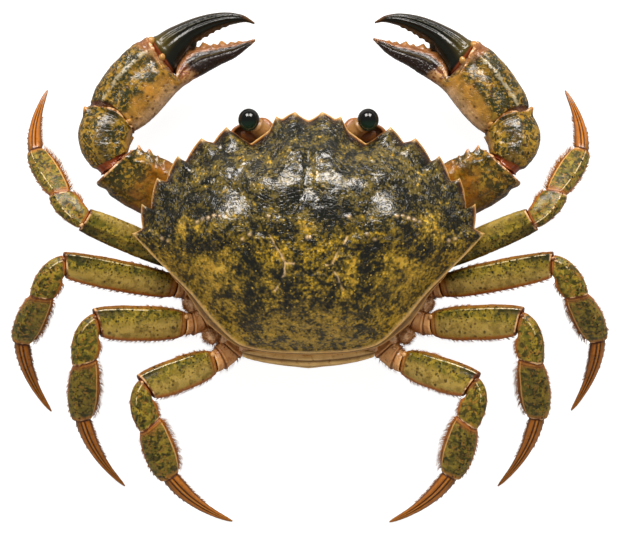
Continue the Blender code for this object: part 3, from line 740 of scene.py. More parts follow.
def leg_plates(number, leg, side):
    """The five plates of one walking leg, each a plate with its relief, as for the crab's left. The first
    leg has its ridges and its fringed edge the other way round."""
    facing = -1.0 if number == 1 else 1.0
    turns = getattr(leg, side)
    heights = (MERUS_START_HEIGHT, *leg.heights, TIP_HEIGHT)
    joints = [np.array((*leg.start, heights[0]))]
    for length, turn, height in zip(leg.lengths, turns, heights[1:]):
        reached = joints[-1] + heading(turn) * length
        joints.append(np.array((reached[0], reached[1], height)))
    slopes = np.diff(heights) / leg.lengths
    curl = math.copysign(DACTYL_CURL, turns[3] - turns[2])
    bend = 0.5 * (turns[1] - turns[0])
    out_of_body = heading(leg.facing)
    merus, propodus = heading(turns[0], slopes[0]), heading(turns[2], slopes[2])
    aims = (
        (out_of_body, merus),
        (merus, merus),
        (heading(turns[0] + bend, 0.1), heading(turns[2], slopes[1])),
        (propodus, propodus),
        (heading(turns[3] - curl, slopes[3] * 0.8), heading(turns[3] + curl, -0.1)),
    )
    faces = [out_of_body, *(unit(before[1] + after[0]) for before, after in zip(aims, aims[1:])), aims[4][1]]
    inward = math.copysign(90.0, turns[2] - turns[0])
    faces[3] = unit(faces[3] + JOINT_SLANT * heading(turns[2] + inward))
    ends = [np.array((*leg.root, HIP_HEIGHT)), *joints]
    plates = {}
    for order, (kind, width) in enumerate(zip(LEG_PLATES, (HIP_WIDTH, *leg.widths))):
        sections, rows, around, lean, tail, lip, floor = LEG_PLATES[kind]
        halves = [(place, part * width / 2.0, part * depth * width / 2.0) for place, part, depth in sections]
        lean = lean if kind == "merus" else lean * facing
        between = slice(order, order + 2)
        plate = limb_plate(
            ends[between], aims[order], faces[between], halves, rows, around, lean, 2.3, tail, lip, floor
        )
        plate.place[..., 1] *= facing
        plates[kind] = grown(plate, leg_relief(kind, plate))
    hip, toe = plates["hip"], plates["dactyl"]
    for groove in HIP_GROOVES:
        hip.marks[..., 1] = np.maximum(hip.marks[..., 1], hill(hip.place[..., 0], groove + 0.01, 0.028))
    toe.rings[..., 2] = np.maximum(toe.rings[..., 2], 0.0)
    return plates


# ---------------------------------------------------------------- claws

ARM_ROOT = np.array((22.0, -3.6, 10.9))
ARM_END = np.array((44.2, -15.4, 15.0))
ARM_END_FACING = -48.0
ARM_FACING = -27.0
ARM_SECTIONS = ((0.0, 3.5, 3.3), (0.3, 5.2, 4.0), (0.6, 6.8, 4.5), (0.85, 6.5, 4.8), (1.0, 5.6, 4.6))
Palm = namedtuple("Palm", "x y heading size")
PALMS = {"left": Palm(44.9, -26.4, -128.5, 1.0), "right": Palm(45.5, -25.5, -125.3, 0.97)}
PALM_HEIGHT = 13.6
# The wrist's near corners, how far its outer edge bulges, and half its depth on the way to the palm.
WRIST_BASE = ((41.4, -18.0), (47.4, -13.2))
WRIST_BULGE = (7.6, 0.25)
WRIST_SECTIONS = ((0.0, 4.3), (0.18, 5.3), (0.45, 5.9), (0.72, 5.7), (1.0, 4.9))
# Claw sections in the palm's own plane: along, outer edge, along, inner edge, height, half of the depth.
PALM_SECTIONS = (
    (-0.8, 5.7, 0.7, -5.7, 13.6, 4.3), (3.8, 7.4, 4.0, -6.9, 13.6, 5.1), (8.1, 7.6, 7.7, -7.4, 13.5, 5.3),
    (14.2, 7.0, 11.2, -7.6, 13.2, 5.0), (19.2, 4.8, 13.4, -7.7, 12.9, 4.2),
    (17.0, -4.7, 15.4, -7.9, 12.2, 3.1), (20.3, -3.9, 18.1, -8.7, 11.8, 2.7),
    (23.4, -4.5, 21.5, -10.1, 11.6, 2.4), (27.6, -8.0, 25.0, -11.5, 11.4, 2.0),
    (30.7, -11.0, 29.0, -13.4, 11.2, 1.4), (33.4, -13.1, 32.5, -14.2, 10.9, 0.8),
    (34.6, -14.1, 34.3, -14.5, 10.8, 0.4),
)
# The section where the palm ends and its fixed finger starts.
PALM_END = 4
FINGER_SECTIONS = (
    (19.6, 4.3, 16.9, -4.4, 13.2, 3.0), (23.4, 3.1, 21.2, -3.9, 13.1, 3.1),
    (27.2, 1.2, 25.0, -3.9, 12.8, 2.8), (30.8, -1.0, 28.7, -5.0, 12.2, 2.5),
    (34.0, -3.7, 31.8, -6.5, 11.8, 2.1), (36.3, -6.6, 34.5, -8.4, 11.4, 1.5),
    (37.5, -9.6, 36.4, -10.2, 11.0, 0.9), (37.6, -11.7, 37.2, -11.9, 10.8, 0.4),
)
# Teeth of the cutting edges: how far along, how wide and how high.
FIXED_TEETH = (
    (18.9, 1.2, 0.7), (20.6, 1.4, 1.1), (22.6, 1.5, 1.3), (24.3, 1.1, 0.8), (26.0, 1.4, 1.3),
    (27.5, 1.0, 0.7), (28.8, 1.2, 1.1), (30.3, 1.0, 0.6), (31.6, 0.9, 0.5),
)
FINGER_TEETH = (
    (21.6, 1.1, 0.4), (23.3, 1.2, 0.5), (25.1, 1.3, 0.65), (26.8, 1.1, 0.5), (28.4, 1.2, 0.55),
    (30.0, 1.0, 0.45), (31.4, 1.0, 0.4), (32.7, 0.9, 0.3),
)
# Knobs of the finger's hinge: along, out, height, radii, and 1 for a hard knob or 0 for soft skin. The
# finish takes them for the part of the palm at one distance along.
HINGE_KNOBS = (
    (19.3, 4.0, 14.9, (1.1, 0.9, 1.1), 1.0), (18.0, -0.4, 15.9, (1.0, 0.7, 1.0), 1.0),
    (18.4, -4.4, 12.3, (1.4, 2.3, 1.6), 0.0), (1.9, -3.8, 17.3, (0.9, 0.6, 0.6), 1.0),
)
HINGE_ALONG = 17.0
# Spines of the arm and the wrist: root, radius and pull.
ARM_SPINES = (
    ((38.3, -18.6, 16.6), 1.3, (0.3, -2.1, 0.5)), ((36.2, -17.7, 16.6), 1.2, (0.2, -2.0, 0.4)),
    ((34.4, -16.8, 16.2), 1.0, (0.1, -1.4, 0.3)), ((32.9, -16.0, 15.8), 0.9, (0.0, -1.3, 0.2)),
    ((31.3, -14.9, 15.2), 0.9, (-0.1, -1.1, 0.2)), ((41.0, -18.3, 16.6), 1.3, (0.4, -1.3, 0.6)),
)
WRIST_SPINES = (
    ((40.4, -23.2, 15.0), 2.6, (-0.3, -2.6, 0.9)), ((40.9, -21.4, 13.6), 1.3, (-0.9, -0.9, 0.0)),
    ((50.4, -27.4, 15.6), 1.6, (0.8, -1.9, 0.7)),
)


def palm_axis(palm):
    """A step of one palm millimetre along the claw, from wrist to finger tips."""
    return heading(palm.heading) * palm.size


def palm_point(palm, reach, out):
    """A point at floor level, given how far along the palm it lies and how far towards its outer edge."""
    along = palm_axis(palm)
    return np.array((palm.x, palm.y, 0.0)) + along * reach + np.array((-along[1], along[0], 0.0)) * out


def claw_rings(sections, palm, rows, around, power, lean, back):
    """A tube through claw sections, read smoothly by the distance between their middles, and turned to
    the palm's heading. The first section is preceded by a round nose, given as how much longer than usual
    it is and how far back. Returns the plate, and how far along its middle each row and section lies."""
    nose = [(shift * back[0] - back[1], size) for shift, size in NOSE]
    sections = np.array(sections)
    run = run_along((sections[:, [0, 1]] + sections[:, [2, 3]]) / 2.0)
    wanted = np.linspace(0.0, run[-1], rows)
    found = smooth(run, sections, wanted)
    outer, inner = (palm_point(palm, edge[:, :1], edge[:, 1:2]) for edge in (found, found[:, 2:]))
    middle = (outer + inner) / 2.0 + UP * found[:, 4:5]
    along = palm_axis(palm)
    aim = np.tile(unit(along), (rows, 1))
    spine = with_ends(middle, (outer - inner) / 2.0, UP * found[:, 5:6], aim, nose, CLAW_POINT)
    rings, side, high = tube(*spine, around, power, lean)
    reach = (rings - palm_point(palm, 0.0, 0.0)) @ along / (along @ along)
    plate = plate_of(rings, reach, -side, high)
    plate.marks[..., 1] = end_values(nose, 1.0, ease(wanted, 0.6, 0.0), 0.0, CLAW_POINT)
    return plate, end_values(nose, 0.0, wanted, run[-1], CLAW_POINT), run


def teeth_along(plate, teeth, side, palm):
    """Roots and pulls of blunt teeth on one edge of a claw: the edge's point nearest each distance along,
    pulled away from the section's middle."""
    column = 0 if side > 0 else plate.rings.shape[1] // 2
    edge = plate.rings[:, column]
    middle = plate.rings.mean(axis=1)
    reach = plate.place[:, column, 0]
    half = len(reach) // 3
    for along, radius, height in teeth:
        order = half + int(np.argmin(np.abs(reach[half:] - along)))
        yield edge[order] + UP * 0.2, radius * palm.size, unit(edge[order] - middle[order]) * height


def palm_plate(palm):
    """The palm and its fixed finger: a swollen plate with a crest and a crease on its upper face, a lip
    round the hollow where the other finger turns, and blunt teeth on the cutting edge."""
    plate, steps, run = claw_rings(PALM_SECTIONS, palm, 250, 112, 2.35, -0.16, (1.6, 0.0))
    _, side, high = parts_of(plate.place)
    points, marks = plate.rings, plate.marks
    top = ease(high, 0.0, 0.4)
    end = run[PALM_END]
    hand = ease(steps, end + 2.0, end - 1.5) * top
    relief = 1.6 * skin_grain(points)
    relief += hand * 0.14 * ease(side, 0.0, 0.6) * grains(points, 0.95, 71)
    relief += hand * hills(side, (0.42, 0.42, 0.12), (-0.28, 0.12, 0.12), (0.2, -0.3, 0.2))
    relief += hand * 0.2 * rough(points, 3.0, 2, 77)
    lip = hill(steps, end - 0.3, 0.55) * ease(side, -0.9, 0.0)
    relief += 0.45 * lip - 0.25 * hill(steps, end - 1.5, 0.5) * ease(side, -0.9, 0.0)
    hollow = ease(steps, end + 0.1, end + 1.2) * ease(steps, end + 6.0, end + 4.4) * ease(side, -0.2, 0.5)
    relief -= 0.9 * hollow * ease(np.abs(high), 0.95, 0.6)
    blade = ease(steps, end + 4.5, end + 7.0)
    relief += blade * top * hills(side, (0.16, 0.12, 0.12), (-0.16, -0.15, 0.13))
    relief += blade * 0.12 * ease(side, 0.3, 0.6) * grains(points, 1.1, 83)
    hood = 0.1 + 1.9 * np.clip(1.0 - side**2, 0.0, 1.0)
    covered = ease(steps - hood, 0.5, 0.2) * ease(high, 0.0, 0.5)
    relief -= 0.4 * covered
    marks[..., 0] = ease(lip, 0.55, 0.95)
    # The sunk strip under the wrist's rim is marked as socket, so that the finish paints it near-black as
    # painted shade.
    marks[..., 1] = np.maximum(np.maximum(marks[..., 1], hollow), 0.88 * covered)
    plate = raised(plate, relief * (1.0 - ease(marks[..., 1], 0.9, 1.0) * (steps < 2.0)))
    return spiked(plate, teeth_along(plate, FIXED_TEETH, 1, palm), 0.9)


def hinge_knobs(palm):
    """The two knobs that the movable finger turns on, and the soft skin between the two fingers."""
    for reach, out, height, radii, tip in HINGE_KNOBS:
        centre = palm_point(palm, reach, out) + UP * height
        knob = ellipsoid(centre, radii, unit(palm_axis(palm)), 30, 40)
        place = np.full_like(knob.place, (HINGE_ALONG, 0.0, 0.0))
        yield knob._replace(place=place, marks=np.full_like(knob.marks, (0.0, 1.0 - tip, tip)))


def finger_plate(palm):
    """The movable finger: a curved horn with long grooves and a ridge on its upper face, and low teeth."""
    plate, steps, run = claw_rings(FINGER_SECTIONS, palm, 190, 96, 2.2, -0.12, (1.9, 0.1))
    side = plate.place[..., 1]
    ridges = hills(side, (0.2, 0.3, 0.09), (-0.24, 0.5, 0.09), (-0.24, 0.08, 0.1))
    ridges += hills(side, (0.1, -0.2, 0.1), (-0.14, -0.45, 0.1))
    relief = 0.5 * skin_grain(plate.rings)
    relief += ridges * (ease(steps, run[-1], run[-1] * 0.55) * ease(steps, 0.5, 3.5))
    plate = grown(plate, relief + 0.25 * hill(steps, 0.9, 0.7))
    return spiked(plate, teeth_along(plate, FINGER_TEETH, -1, palm), 1.0)


def wrist_plate(palm):
    """The carpus: a fan of sections from the arm's end to the palm. Its inner edge is straight, its outer
    edge bulges, and its far rim reaches over the palm as a low arch with a spine at each corner."""
    first = PALM_SECTIONS[0]
    palm_outer, palm_inner = (palm_point(palm, first[edge] - GAP, first[edge + 1]) for edge in (0, 2))
    inner_start, outer_start = (np.array((*point, 0.0)) for point in WRIST_BASE)
    bulge = (outer_start + palm_outer) / 2.0 + np.array((*WRIST_BULGE, 0.0))
    share = np.linspace(0.0, 1.0, 130)
    s = share[:, None]
    inner = inner_start + (palm_inner - inner_start) * s
    outer = outer_start * (1 - s) ** 2 + 2.0 * bulge * s * (1 - s) + palm_outer * s**2
    height = (ARM_END[2] + PALM_HEIGHT) / 2.0 + (0.5 - s) * (ARM_END[2] - PALM_HEIGHT)
    middle = (outer + inner) / 2.0 + UP * height
    aim = unit(np.gradient(middle, axis=0) * np.array((1.0, 1.0, 0.0)))
    aim[-1] = unit(palm_axis(palm))
    depth = smooth(*zip(*WRIST_SECTIONS), share)
    spine = with_ends(middle, (outer - inner) / 2.0, UP * depth, aim, NOSE, SOCKET)
    rings, side, high = tube(*spine, 104, 2.4)
    line = end_values(NOSE, 0.0, share, 1.0, SOCKET) + 0.0 * side
    hood = ease(line, 0.55, 1.0) * np.clip(1.0 - side**2, 0.0, 1.0) * ease(high, -0.2, 0.9)
    rings = rings + unit(palm_axis(palm)) * (1.9 * hood)[..., None]
    plate = plate_of(rings, line, -side, high)
    marks = plate.marks
    marks[..., 1] = ease(line + 0.03 * rough(rings, 2.0, 2, 93), 0.115, 0.085)
    marks[-len(SOCKET) + SOCKET_RIM :, :, 1] = 1.0
    marks[..., 0] = ease(line, 0.99, 0.997) * (1.0 - marks[..., 1])
    top = ease(high, 0.0, 0.4)
    relief = 1.5 * skin_grain(rings) + 0.3 * hill(line, 0.985, 0.02) - 0.25 * hill(line, 0.935, 0.02)
    relief += top * 0.1 * grains(rings, 0.95, 91) + top * 0.12 * rough(rings, 3.8, 2, 97)
    relief *= 1.0 - marks[..., 1]
    relief += top * hills(-side, (0.35, 0.1, 0.3), (-0.25, -0.45, 0.14), (-0.2, 0.62, 0.12))
    relief -= 0.5 * ease(line, 0.13, 0.06) * ease(line, -0.01, 0.02)
    return spiked(raised(plate, relief), WRIST_SPINES)


def arm_plate():
    """The arm of the claw: a stout plate with a row of spines along its front edge and a wide pale rim."""
    root = heading(ARM_FACING)
    plate = limb_plate(
        (ARM_ROOT, ARM_END), (root, heading(ARM_FACING, 0.2)), (root, heading(ARM_END_FACING)),
        ARM_SECTIONS, 150, 104, 0.15, 2.4, SOCKET, 0.03,
    )
    along, side, high = parts_of(plate.place)
    relief = 1.5 * skin_grain(plate.rings) + 0.15 * rough(plate.rings, 3.5, 2, 101)
    relief += ease(high, 0.0, 0.4) * hills(side, (0.3, 0.45, 0.14), (-0.2, 0.1, 0.15))
    relief += hills(along, (0.25, 0.97, 0.02), (-0.3, 0.91, 0.03))
    return spiked(grown(plate, relief), ARM_SPINES)


# ---------------------------------------------------------------- head

EYE_CENTRE = np.array((13.5, -25.7, 21.8))
EYE_RADII = np.array((2.42, 2.6, 2.4))
STALK_ROOT = np.array((8.9, -21.9, 18.4))
# Stations of the eyestalk: part of the way to the eye's centre, and radius.
STALK_STATIONS = ((0.0, 1.7), (0.35, 2.0), (0.55, 1.9), (0.72, 2.1), (0.84, 2.2), (0.9, 2.0))
# Paths of the feelers and of the mouth's feeler: points and radius.
ANTENNA_PATH = (
    (8.4, -22.6, 13.9, 1.1), (9.1, -24.4, 14.7, 1.15), (9.9, -25.6, 14.6, 0.85), (11.2, -26.1, 12.9, 0.5),
    (12.6, -25.9, 10.4, 0.4), (13.6, -25.1, 7.8, 0.32), (13.9, -24.0, 5.8, 0.27),
)
# How far along the antenna its thick root joints end and its ringed lash starts.
LASH_START = 3.0
ANTENNULE_PATH = (
    (2.0, -22.2, 15.0, 0.9), (2.6, -24.0, 16.2, 1.0), (3.6, -24.8, 16.9, 0.8), (5.0, -24.6, 16.4, 0.55),
    (5.6, -23.8, 15.2, 0.35), (5.2, -23.2, 14.2, 0.2),
)
PALP_PATH = (
    (4.9, -19.9, 13.4, 0.75), (4.7, -21.2, 12.9, 0.8), (4.0, -21.3, 11.2, 0.6), (3.5, -20.6, 9.8, 0.35),
)
ORBIT_CENTRE = np.array((13.3, -22.2, 20.9))
ORBIT_RADII = np.array((4.6, 3.0, 3.3))
# The soft cushion between the eye's socket and the face.
CUSHION_CENTRE = (13.4, -22.3, 18.3)
CUSHION_RADII = (2.9, 1.5, 1.2)
# The mouth plate from its root to its tip: (y, z, half width).
MOUTH_PLATE_PATH = ((-11.4, 3.9, 1.9), (-14.5, 6.7, 2.7), (-18.6, 10.7, 2.9), (-21.6, 13.7, 2.5))
MOUTH_PLATE_THICKNESS = 1.3
MOUTH_PLATE_MIDDLE = 2.9 + GAP
MOUTH_GROOVE = 8.9


def flat_circle(count):
    """Points round a level circle of radius 1."""
    return np.stack((*circle(count), np.zeros(count)), axis=-1)


def eye_shape():
    """The eye: an upright egg whose rings shrink towards the stalk in a slight waist."""
    out = unit(EYE_CENTRE - STALK_ROOT)
    polar = sphere_angles(60)[:, None, None]
    rings = np.sin(polar) * flat_circle(80) - np.cos(polar) * UP
    rings = rings * EYE_RADII * (1.0 - 0.06 * ease(-(rings @ out), 0.55, 1.0))[..., None]
    return from_rings(rings + EYE_CENTRE, rings / EYE_RADII, no_marks(rings))


def path_tube(path, rows, around, relief=None):
    """A round tube along a smooth curve through (x, y, z, radius) rows, with a rounded start and tip. The
    relief is worked out from the distance along and from the share of the length."""
    path = np.array(path)
    run, found = even_rows(path[:, :3], path, rows)
    centres, radius = found[:, :3], found[:, 3].copy()
    radius *= np.sqrt(np.clip(run / (0.5 * radius[0]), 0.15, 1.0))
    radius *= np.sqrt(np.clip((run[-1] - run) / max(0.8 * radius[-1], 0.12), 0.1, 1.0))
    share = run / run[-1]
    if relief is not None:
        radius = radius + relief(run, share)
    radius = radius[:, None]
    ahead = unit(np.gradient(centres, axis=0))
    across = unit(np.cross(np.array((0.35, 0.2, 0.91)), ahead))
    rings, side, high = tube(centres, across * radius, np.cross(ahead, across) * radius, around, 2.0)
    return shape_of(plate_of(rings, share[:, None], side, high))


def stalk_shape():
    """The eyestalk: a short bulging tube with a cup at its end that holds the eye."""
    out = unit(EYE_CENTRE - STALK_ROOT)
    reach = np.linalg.norm(EYE_CENTRE - STALK_ROOT)
    path = [(*(STALK_ROOT + out * reach * share), radius) for share, radius in STALK_STATIONS]
    return path_tube(path, 60, 56)


def orbit_shape():
    """The socket under the eye: the lower half of an egg with a thick rounded rim, hollowed inside."""
    outer = np.linspace(0.12, 1.0, 35)
    inner = np.linspace(0.84, 0.1, 35)
    width = np.concatenate((outer, inner))[:, None, None]
    drop = np.concatenate((np.sqrt(1.0 - outer**2 * 0.98), 0.66 * np.sqrt(1.0 - (inner / 0.86) ** 2 * 0.99)))
    rings = flat_circle(96) * width * ORBIT_RADII
    rings = rings - UP * (drop * ORBIT_RADII[2])[:, None, None] + ORBIT_CENTRE
    marks = no_marks(rings)
    marks[len(outer) + 1 :, :, 1] = 1.0
    return from_rings(rings + 0.09 * rough(rings, 0.9, 2, 7)[..., None], np.zeros_like(rings), marks)


def strip_plate(path, middle, thickness, rows, around, sweep=0.0):
    """A flat bent strip across the body, with its middle at that x: path rows are (y, z, half width), and
    its edges thin out and bow forwards by the sweep. place is (along, side, outer face 1). Returns the
    plate, and how far along each row is."""
    path = np.array(path)
    run, found = even_rows(path[:, :2], path, rows)
    centres = np.stack((np.full(rows, middle), found[:, 0], found[:, 1]), axis=-1)
    ahead = unit(np.gradient(centres, axis=0))
    width = np.array((1.0, 0.0, 0.0))
    half = found[:, 2:3] * np.sqrt(np.clip(np.minimum(run, run[-1] - run) / 0.6, 0.05, 1.0))[:, None]
    rings, side, high = tube(centres, width * half, np.cross(width, ahead) * thickness / 2.0, around, 3.2)
    rings[..., 1] -= sweep * side**2
    return plate_of(rings, (run / run[-1])[:, None], side, high), run


# ---------------------------------------------------------------- underside

UNDERBODY = (
    (0.0, -20.5), (9.5, -20.5), (17.0, -18.6), (22.3, -13.6), (19.0, -7.6), (22.6, -0.4), (23.6, 0.6),
    (23.6, 14.9), (20.2, 21.2), (13.0, 26.3), (0.0, 26.3),
)
# Levels of the underbody: height, part of the width, and of the length in front of and behind the middle.
UNDERBODY_LEVELS = (
    (4.6, 0.62, 0.5, 0.7), (5.6, 0.8, 0.58, 0.9), (7.2, 0.97, 0.68, 0.98), (13.6, 1.0, 1.0, 1.0),
    (16.5, 0.96, 1.0, 0.97),
)
UNDERBODY_MIDDLE = np.array((0.0, 3.0, 0.0))
UNDERBODY_DEPTH = 12.0
# Seams between the breast plates, on both sides, from the middle trough outwards.
BREAST_SEAMS = (
    ((5.0, -7.0), (12.0, -8.2), (20.0, -5.6)), ((5.5, -1.0), (13.0, 0.2), (22.0, 0.2)),
    ((6.5, 5.0), (14.0, 7.4), (23.0, 7.6)), ((7.2, 11.0), (14.0, 14.4), (22.5, 14.8)),
    ((7.5, 17.0), (12.0, 20.4), (18.0, 22.4)),
)
TAIL_PATH = (
    (27.9, 16.6, 15.2), (29.6, 15.6, 15.0), (29.9, 13.6, 11.6), (28.9, 9.5, 8.8), (26.8, 5.4, 8.2),
    (23.0, 3.6, 8.6), (14.0, 3.4, 7.2), (4.0, 3.4, 5.4), (-3.5, 3.4, 2.6),
)
TAIL_THICKNESS = 1.3
TAIL_SWEEP = 1.7
TAIL_SEAMS = (0.9, 2.1, 6.4, 11.0, 15.6, 24.0, 32.5)


def underbody_shape():
    """Breast plates and side walls: the hip outline, smoothed and scaled level by level, closed below
    with rings that shrink to the middle and carry the seams of the breast plates and a middle trough."""
    half = np.array(UNDERBODY)
    whole = np.concatenate((both_sides(half), half[:1]))
    run = run_along(whole)
    wanted = np.arange(320) / 320 * run[-1]
    outline = np.column_stack([np.interp(wanted, run, whole[:, axis]) for axis in range(2)])
    for _ in range(5):
        outline = softened(outline)
    levels = np.array(UNDERBODY_LEVELS)
    bottom, ceiling = levels[0, 0], levels[-1, 0]
    heights = np.linspace(bottom, ceiling, 70)
    factors = smooth(levels[:, 0], levels[:, 1:], heights)
    share = ease(outline[:, 1], -4.0, 4.0)
    long = factors[:, 1:2] * (1.0 - share) + factors[:, 2:3] * share
    walls = (outline[:, 0] * factors[:, :1], outline[:, 1] * long, heights[:, None] + 0.0 * long)
    walls = np.stack(walls, axis=-1)
    shrink = np.linspace(0.02, 0.985, 60)[:, None, None]
    floor = (walls[0] - UNDERBODY_MIDDLE) * shrink + UNDERBODY_MIDDLE
    floor[..., 2] = bottom + 0.35 * ease(shrink[..., 0], 0.9, 1.0)
    top = (walls[-1] - UNDERBODY_MIDDLE) * np.linspace(0.96, 0.1, 6)[:, None, None] + UNDERBODY_MIDDLE
    top[..., 2] = ceiling
    rings = np.concatenate((floor, walls, top))
    normal = outward(rings)
    normal[: len(floor)] = -UP
    both = folded(rings)
    seams = np.max([hill(distance_to_line(both, line), 0.0, 0.45) for line in BREAST_SEAMS], axis=0)
    low = ease(rings[..., 2], 9.5, 6.0)
    relief = 0.09 * rough(rings, 2.5, 3, 111) + 0.04 * grains(rings, 0.6, 113)
    relief -= 0.6 * seams * low
    relief[-len(top) :] = 0.0
    place, marks = np.zeros_like(rings), no_marks(rings)
    place[..., 2] = (rings[..., 2] - bottom) / UNDERBODY_DEPTH
    marks[..., 1] = seams * low
    return from_rings(rings + normal * relief[..., None], place, marks)


def tail_shape():
    """The abdomen: a flap whose rings of shell overlap, each ending in a raised rim and a groove."""
    plate, run = strip_plate(TAIL_PATH, 0.0, TAIL_THICKNESS, 260, 120, TAIL_SWEEP)
    run = run[:, None]
    relief = 0.05 * rough(plate.rings, 2.2, 2, 121) + 0.03 * grains(plate.rings, 0.5, 123)
    for seam in TAIL_SEAMS:
        relief += hills(run, (0.2, seam - 0.45, 0.35), (-0.34, seam, 0.22))
    relief += 0.22 * ease(np.abs(plate.place[..., 1]), 0.3, 0.0)
    relief *= ease(plate.place[..., 2], 0.2, 0.6)
    plate.marks[..., 1] = np.max([hill(run, seam, 0.25) for seam in TAIL_SEAMS], axis=0)
    return shape_of(raised(plate, relief))


def mouth_plate():
    """The outer mouth plate: two flat joints with a groove between them and a furrow down the middle."""
    plate, run = strip_plate(MOUTH_PLATE_PATH, MOUTH_PLATE_MIDDLE, MOUTH_PLATE_THICKNESS, 150, 96)
    groove = hill(run, MOUTH_GROOVE, 0.25)[:, None]
    relief = 0.05 * rough(plate.rings, 1.6, 2, 131) + 0.04 * grains(plate.rings, 0.45, 133)
    relief -= 0.4 * groove + 0.18 * hill(plate.place[..., 1], 0.2, 0.12)
    relief += 0.15 * hill(run, 8.2, 0.4)[:, None]
    relief *= ease(np.abs(plate.place[..., 2]), 0.1, 0.5)
    plate.marks[..., 1] = groove
    return raised(plate, relief)


# ---------------------------------------------------------------- bristles

BRISTLE_RADIUS = 0.05
TUFT_HAIRS = 9
# The width of one bristle's patch on the flat map of its piece.
PATCH_SIZE = 0.003
# edge is the side of the plate that the fringe grows from: -1 the rear, 1 the front.
Fringe = namedtuple("Fringe", "kind edge start end count length lie spread")
FRINGES = (
    Fringe("merus", -1, 0.06, 0.99, 150, 0.75, 0.9, 3), Fringe("merus", 1, 0.0, 0.45, 60, 0.5, 0.9, 3),
    Fringe("carpus", -1, 0.35, 1.0, 60, 0.8, 0.8, 3), Fringe("carpus", 1, 0.3, 1.0, 30, 0.4, 1.0, 2),
    Fringe("propodus", -1, 0.02, 0.98, 230, 1.35, 0.55, 4), Fringe("propodus", 1, 0.1, 1.0, 90, 0.6, 1.0, 3),
    Fringe("dactyl", -1, 0.02, 0.6, 120, 0.6, 1.0, 3), Fringe("dactyl", 1, 0.02, 0.4, 50, 0.4, 1.0, 3),
    Fringe("hip", -1, 0.1, 1.0, 90, 0.9, 0.4, 12), Fringe("hip", 1, 0.1, 1.0, 70, 0.8, 0.4, 12),
)
# The fringes down both edges of each mouth plate.
MOUTH_FRINGES = (
    Fringe("mouth", -1, 0.06, 0.97, 260, 0.9, 0.5, 5), Fringe("mouth", 1, 0.06, 0.97, 220, 0.8, 0.5, 5),
)
FLANK_LUMPS = (
    (26.0, 9.2, 12.4), (26.6, 16.0, 12.0), (22.2, 23.2, 12.0), (19.4, 23.4, 11.6), (13.9, 25.5, 12.6),
)
FLANK_RADII = np.array((2.1, 2.0, 2.2))
FLANK_HAIRS = 600


def hairs(roots, directions, bends, lengths, spots):
    """Thin three-sided cones, one for each root: two rings and a tip, the tip drawn over by the bend.
    Returns the shape and each point's place on the flat map, a small patch round its root's spot."""
    count = len(roots)
    aside = unit(np.cross(directions, (0.31, 0.17, 0.93)))
    third = np.cross(directions, aside)
    cosine, sine = circle(3)
    ring = cosine[:, None] * aside[:, None] + sine[:, None] * third[:, None]
    reach = lengths[:, None]
    middle = roots + directions * reach * 0.5 + bends * reach * 0.12
    tip = roots + directions * reach + bends * reach * 0.5
    low = roots[:, None] - directions[:, None] * 0.1 + ring * BRISTLE_RADIUS
    high = middle[:, None] + ring * BRISTLE_RADIUS * 0.7
    points = np.concatenate((low, high, tip[:, None]), axis=1).reshape(-1, 3)
    base = (np.arange(count) * 7)[:, None, None]
    quads = np.array(((0, 1, 4, 3), (1, 2, 5, 4), (2, 0, 3, 5)))
    triangles = np.array(((3, 4, 6), (4, 5, 6), (5, 3, 6), (0, 2, 1)))
    corner = np.stack((cosine, sine), axis=-1) * PATCH_SIZE / 2.0
    around = np.concatenate((corner, corner * 0.6, np.zeros((1, 2))))
    faces = (quads + base).reshape(-1, 4), (triangles + base).reshape(-1, 3)
    unread = np.zeros_like(points)
    return Shape(points, *faces, unread, unread), (spots[:, None] + around).reshape(-1, 2)


def add_hairs(name, coats, finishes, slot, side):
    """One piece of bristles from several coats of hair, each with its places on the flat map."""
    shapes, patches = zip(*coats)
    add_piece(name, shapes, finishes["bristle"], slot, (), side, np.concatenate(patches))


def fringe_hairs(plate, fringe, draw, cell):
    """One fringe: roots scattered along one edge of a plate, each bristle leaning towards the plate's
    far end. cell is the plate's own strip of the flat map, (left, width)."""
    rows, around = plate.rings.shape[:2]
    first = len(NOSE) + 2
    last = rows - len(SOCKET) - 2
    tufts = max(fringe.count // TUFT_HAIRS, 1)
    home = (draw.integers(0, tufts, fringe.count) + 0.5 + draw.normal(0.0, 0.11, fringe.count)) / tufts
    share = fringe.start + (fringe.end - fringe.start) * np.clip(home, 0.0, 1.0)
    row = np.clip((first + share * (last - first)).astype(int), first, last)
    first_column = 0 if fringe.edge < 0 else around // 2
    column = (first_column + draw.integers(-fringe.spread, fringe.spread + 1, fringe.count)) % around
    ahead = unit(plate.rings[row + 1, column] - plate.rings[row - 1, column])
    sway = draw.normal(0.0, 0.14, (fringe.count, 3))
    directions = unit(plate.normal[row, column] + fringe.lie * ahead + sway)
    lengths = fringe.length * draw.uniform(0.55, 1.25, fringe.count)
    spots = np.column_stack((cell[0] + cell[1] * share, 0.02 + 0.96 * column / around))
    return hairs(plate.rings[row, column], directions, ahead, lengths, spots)


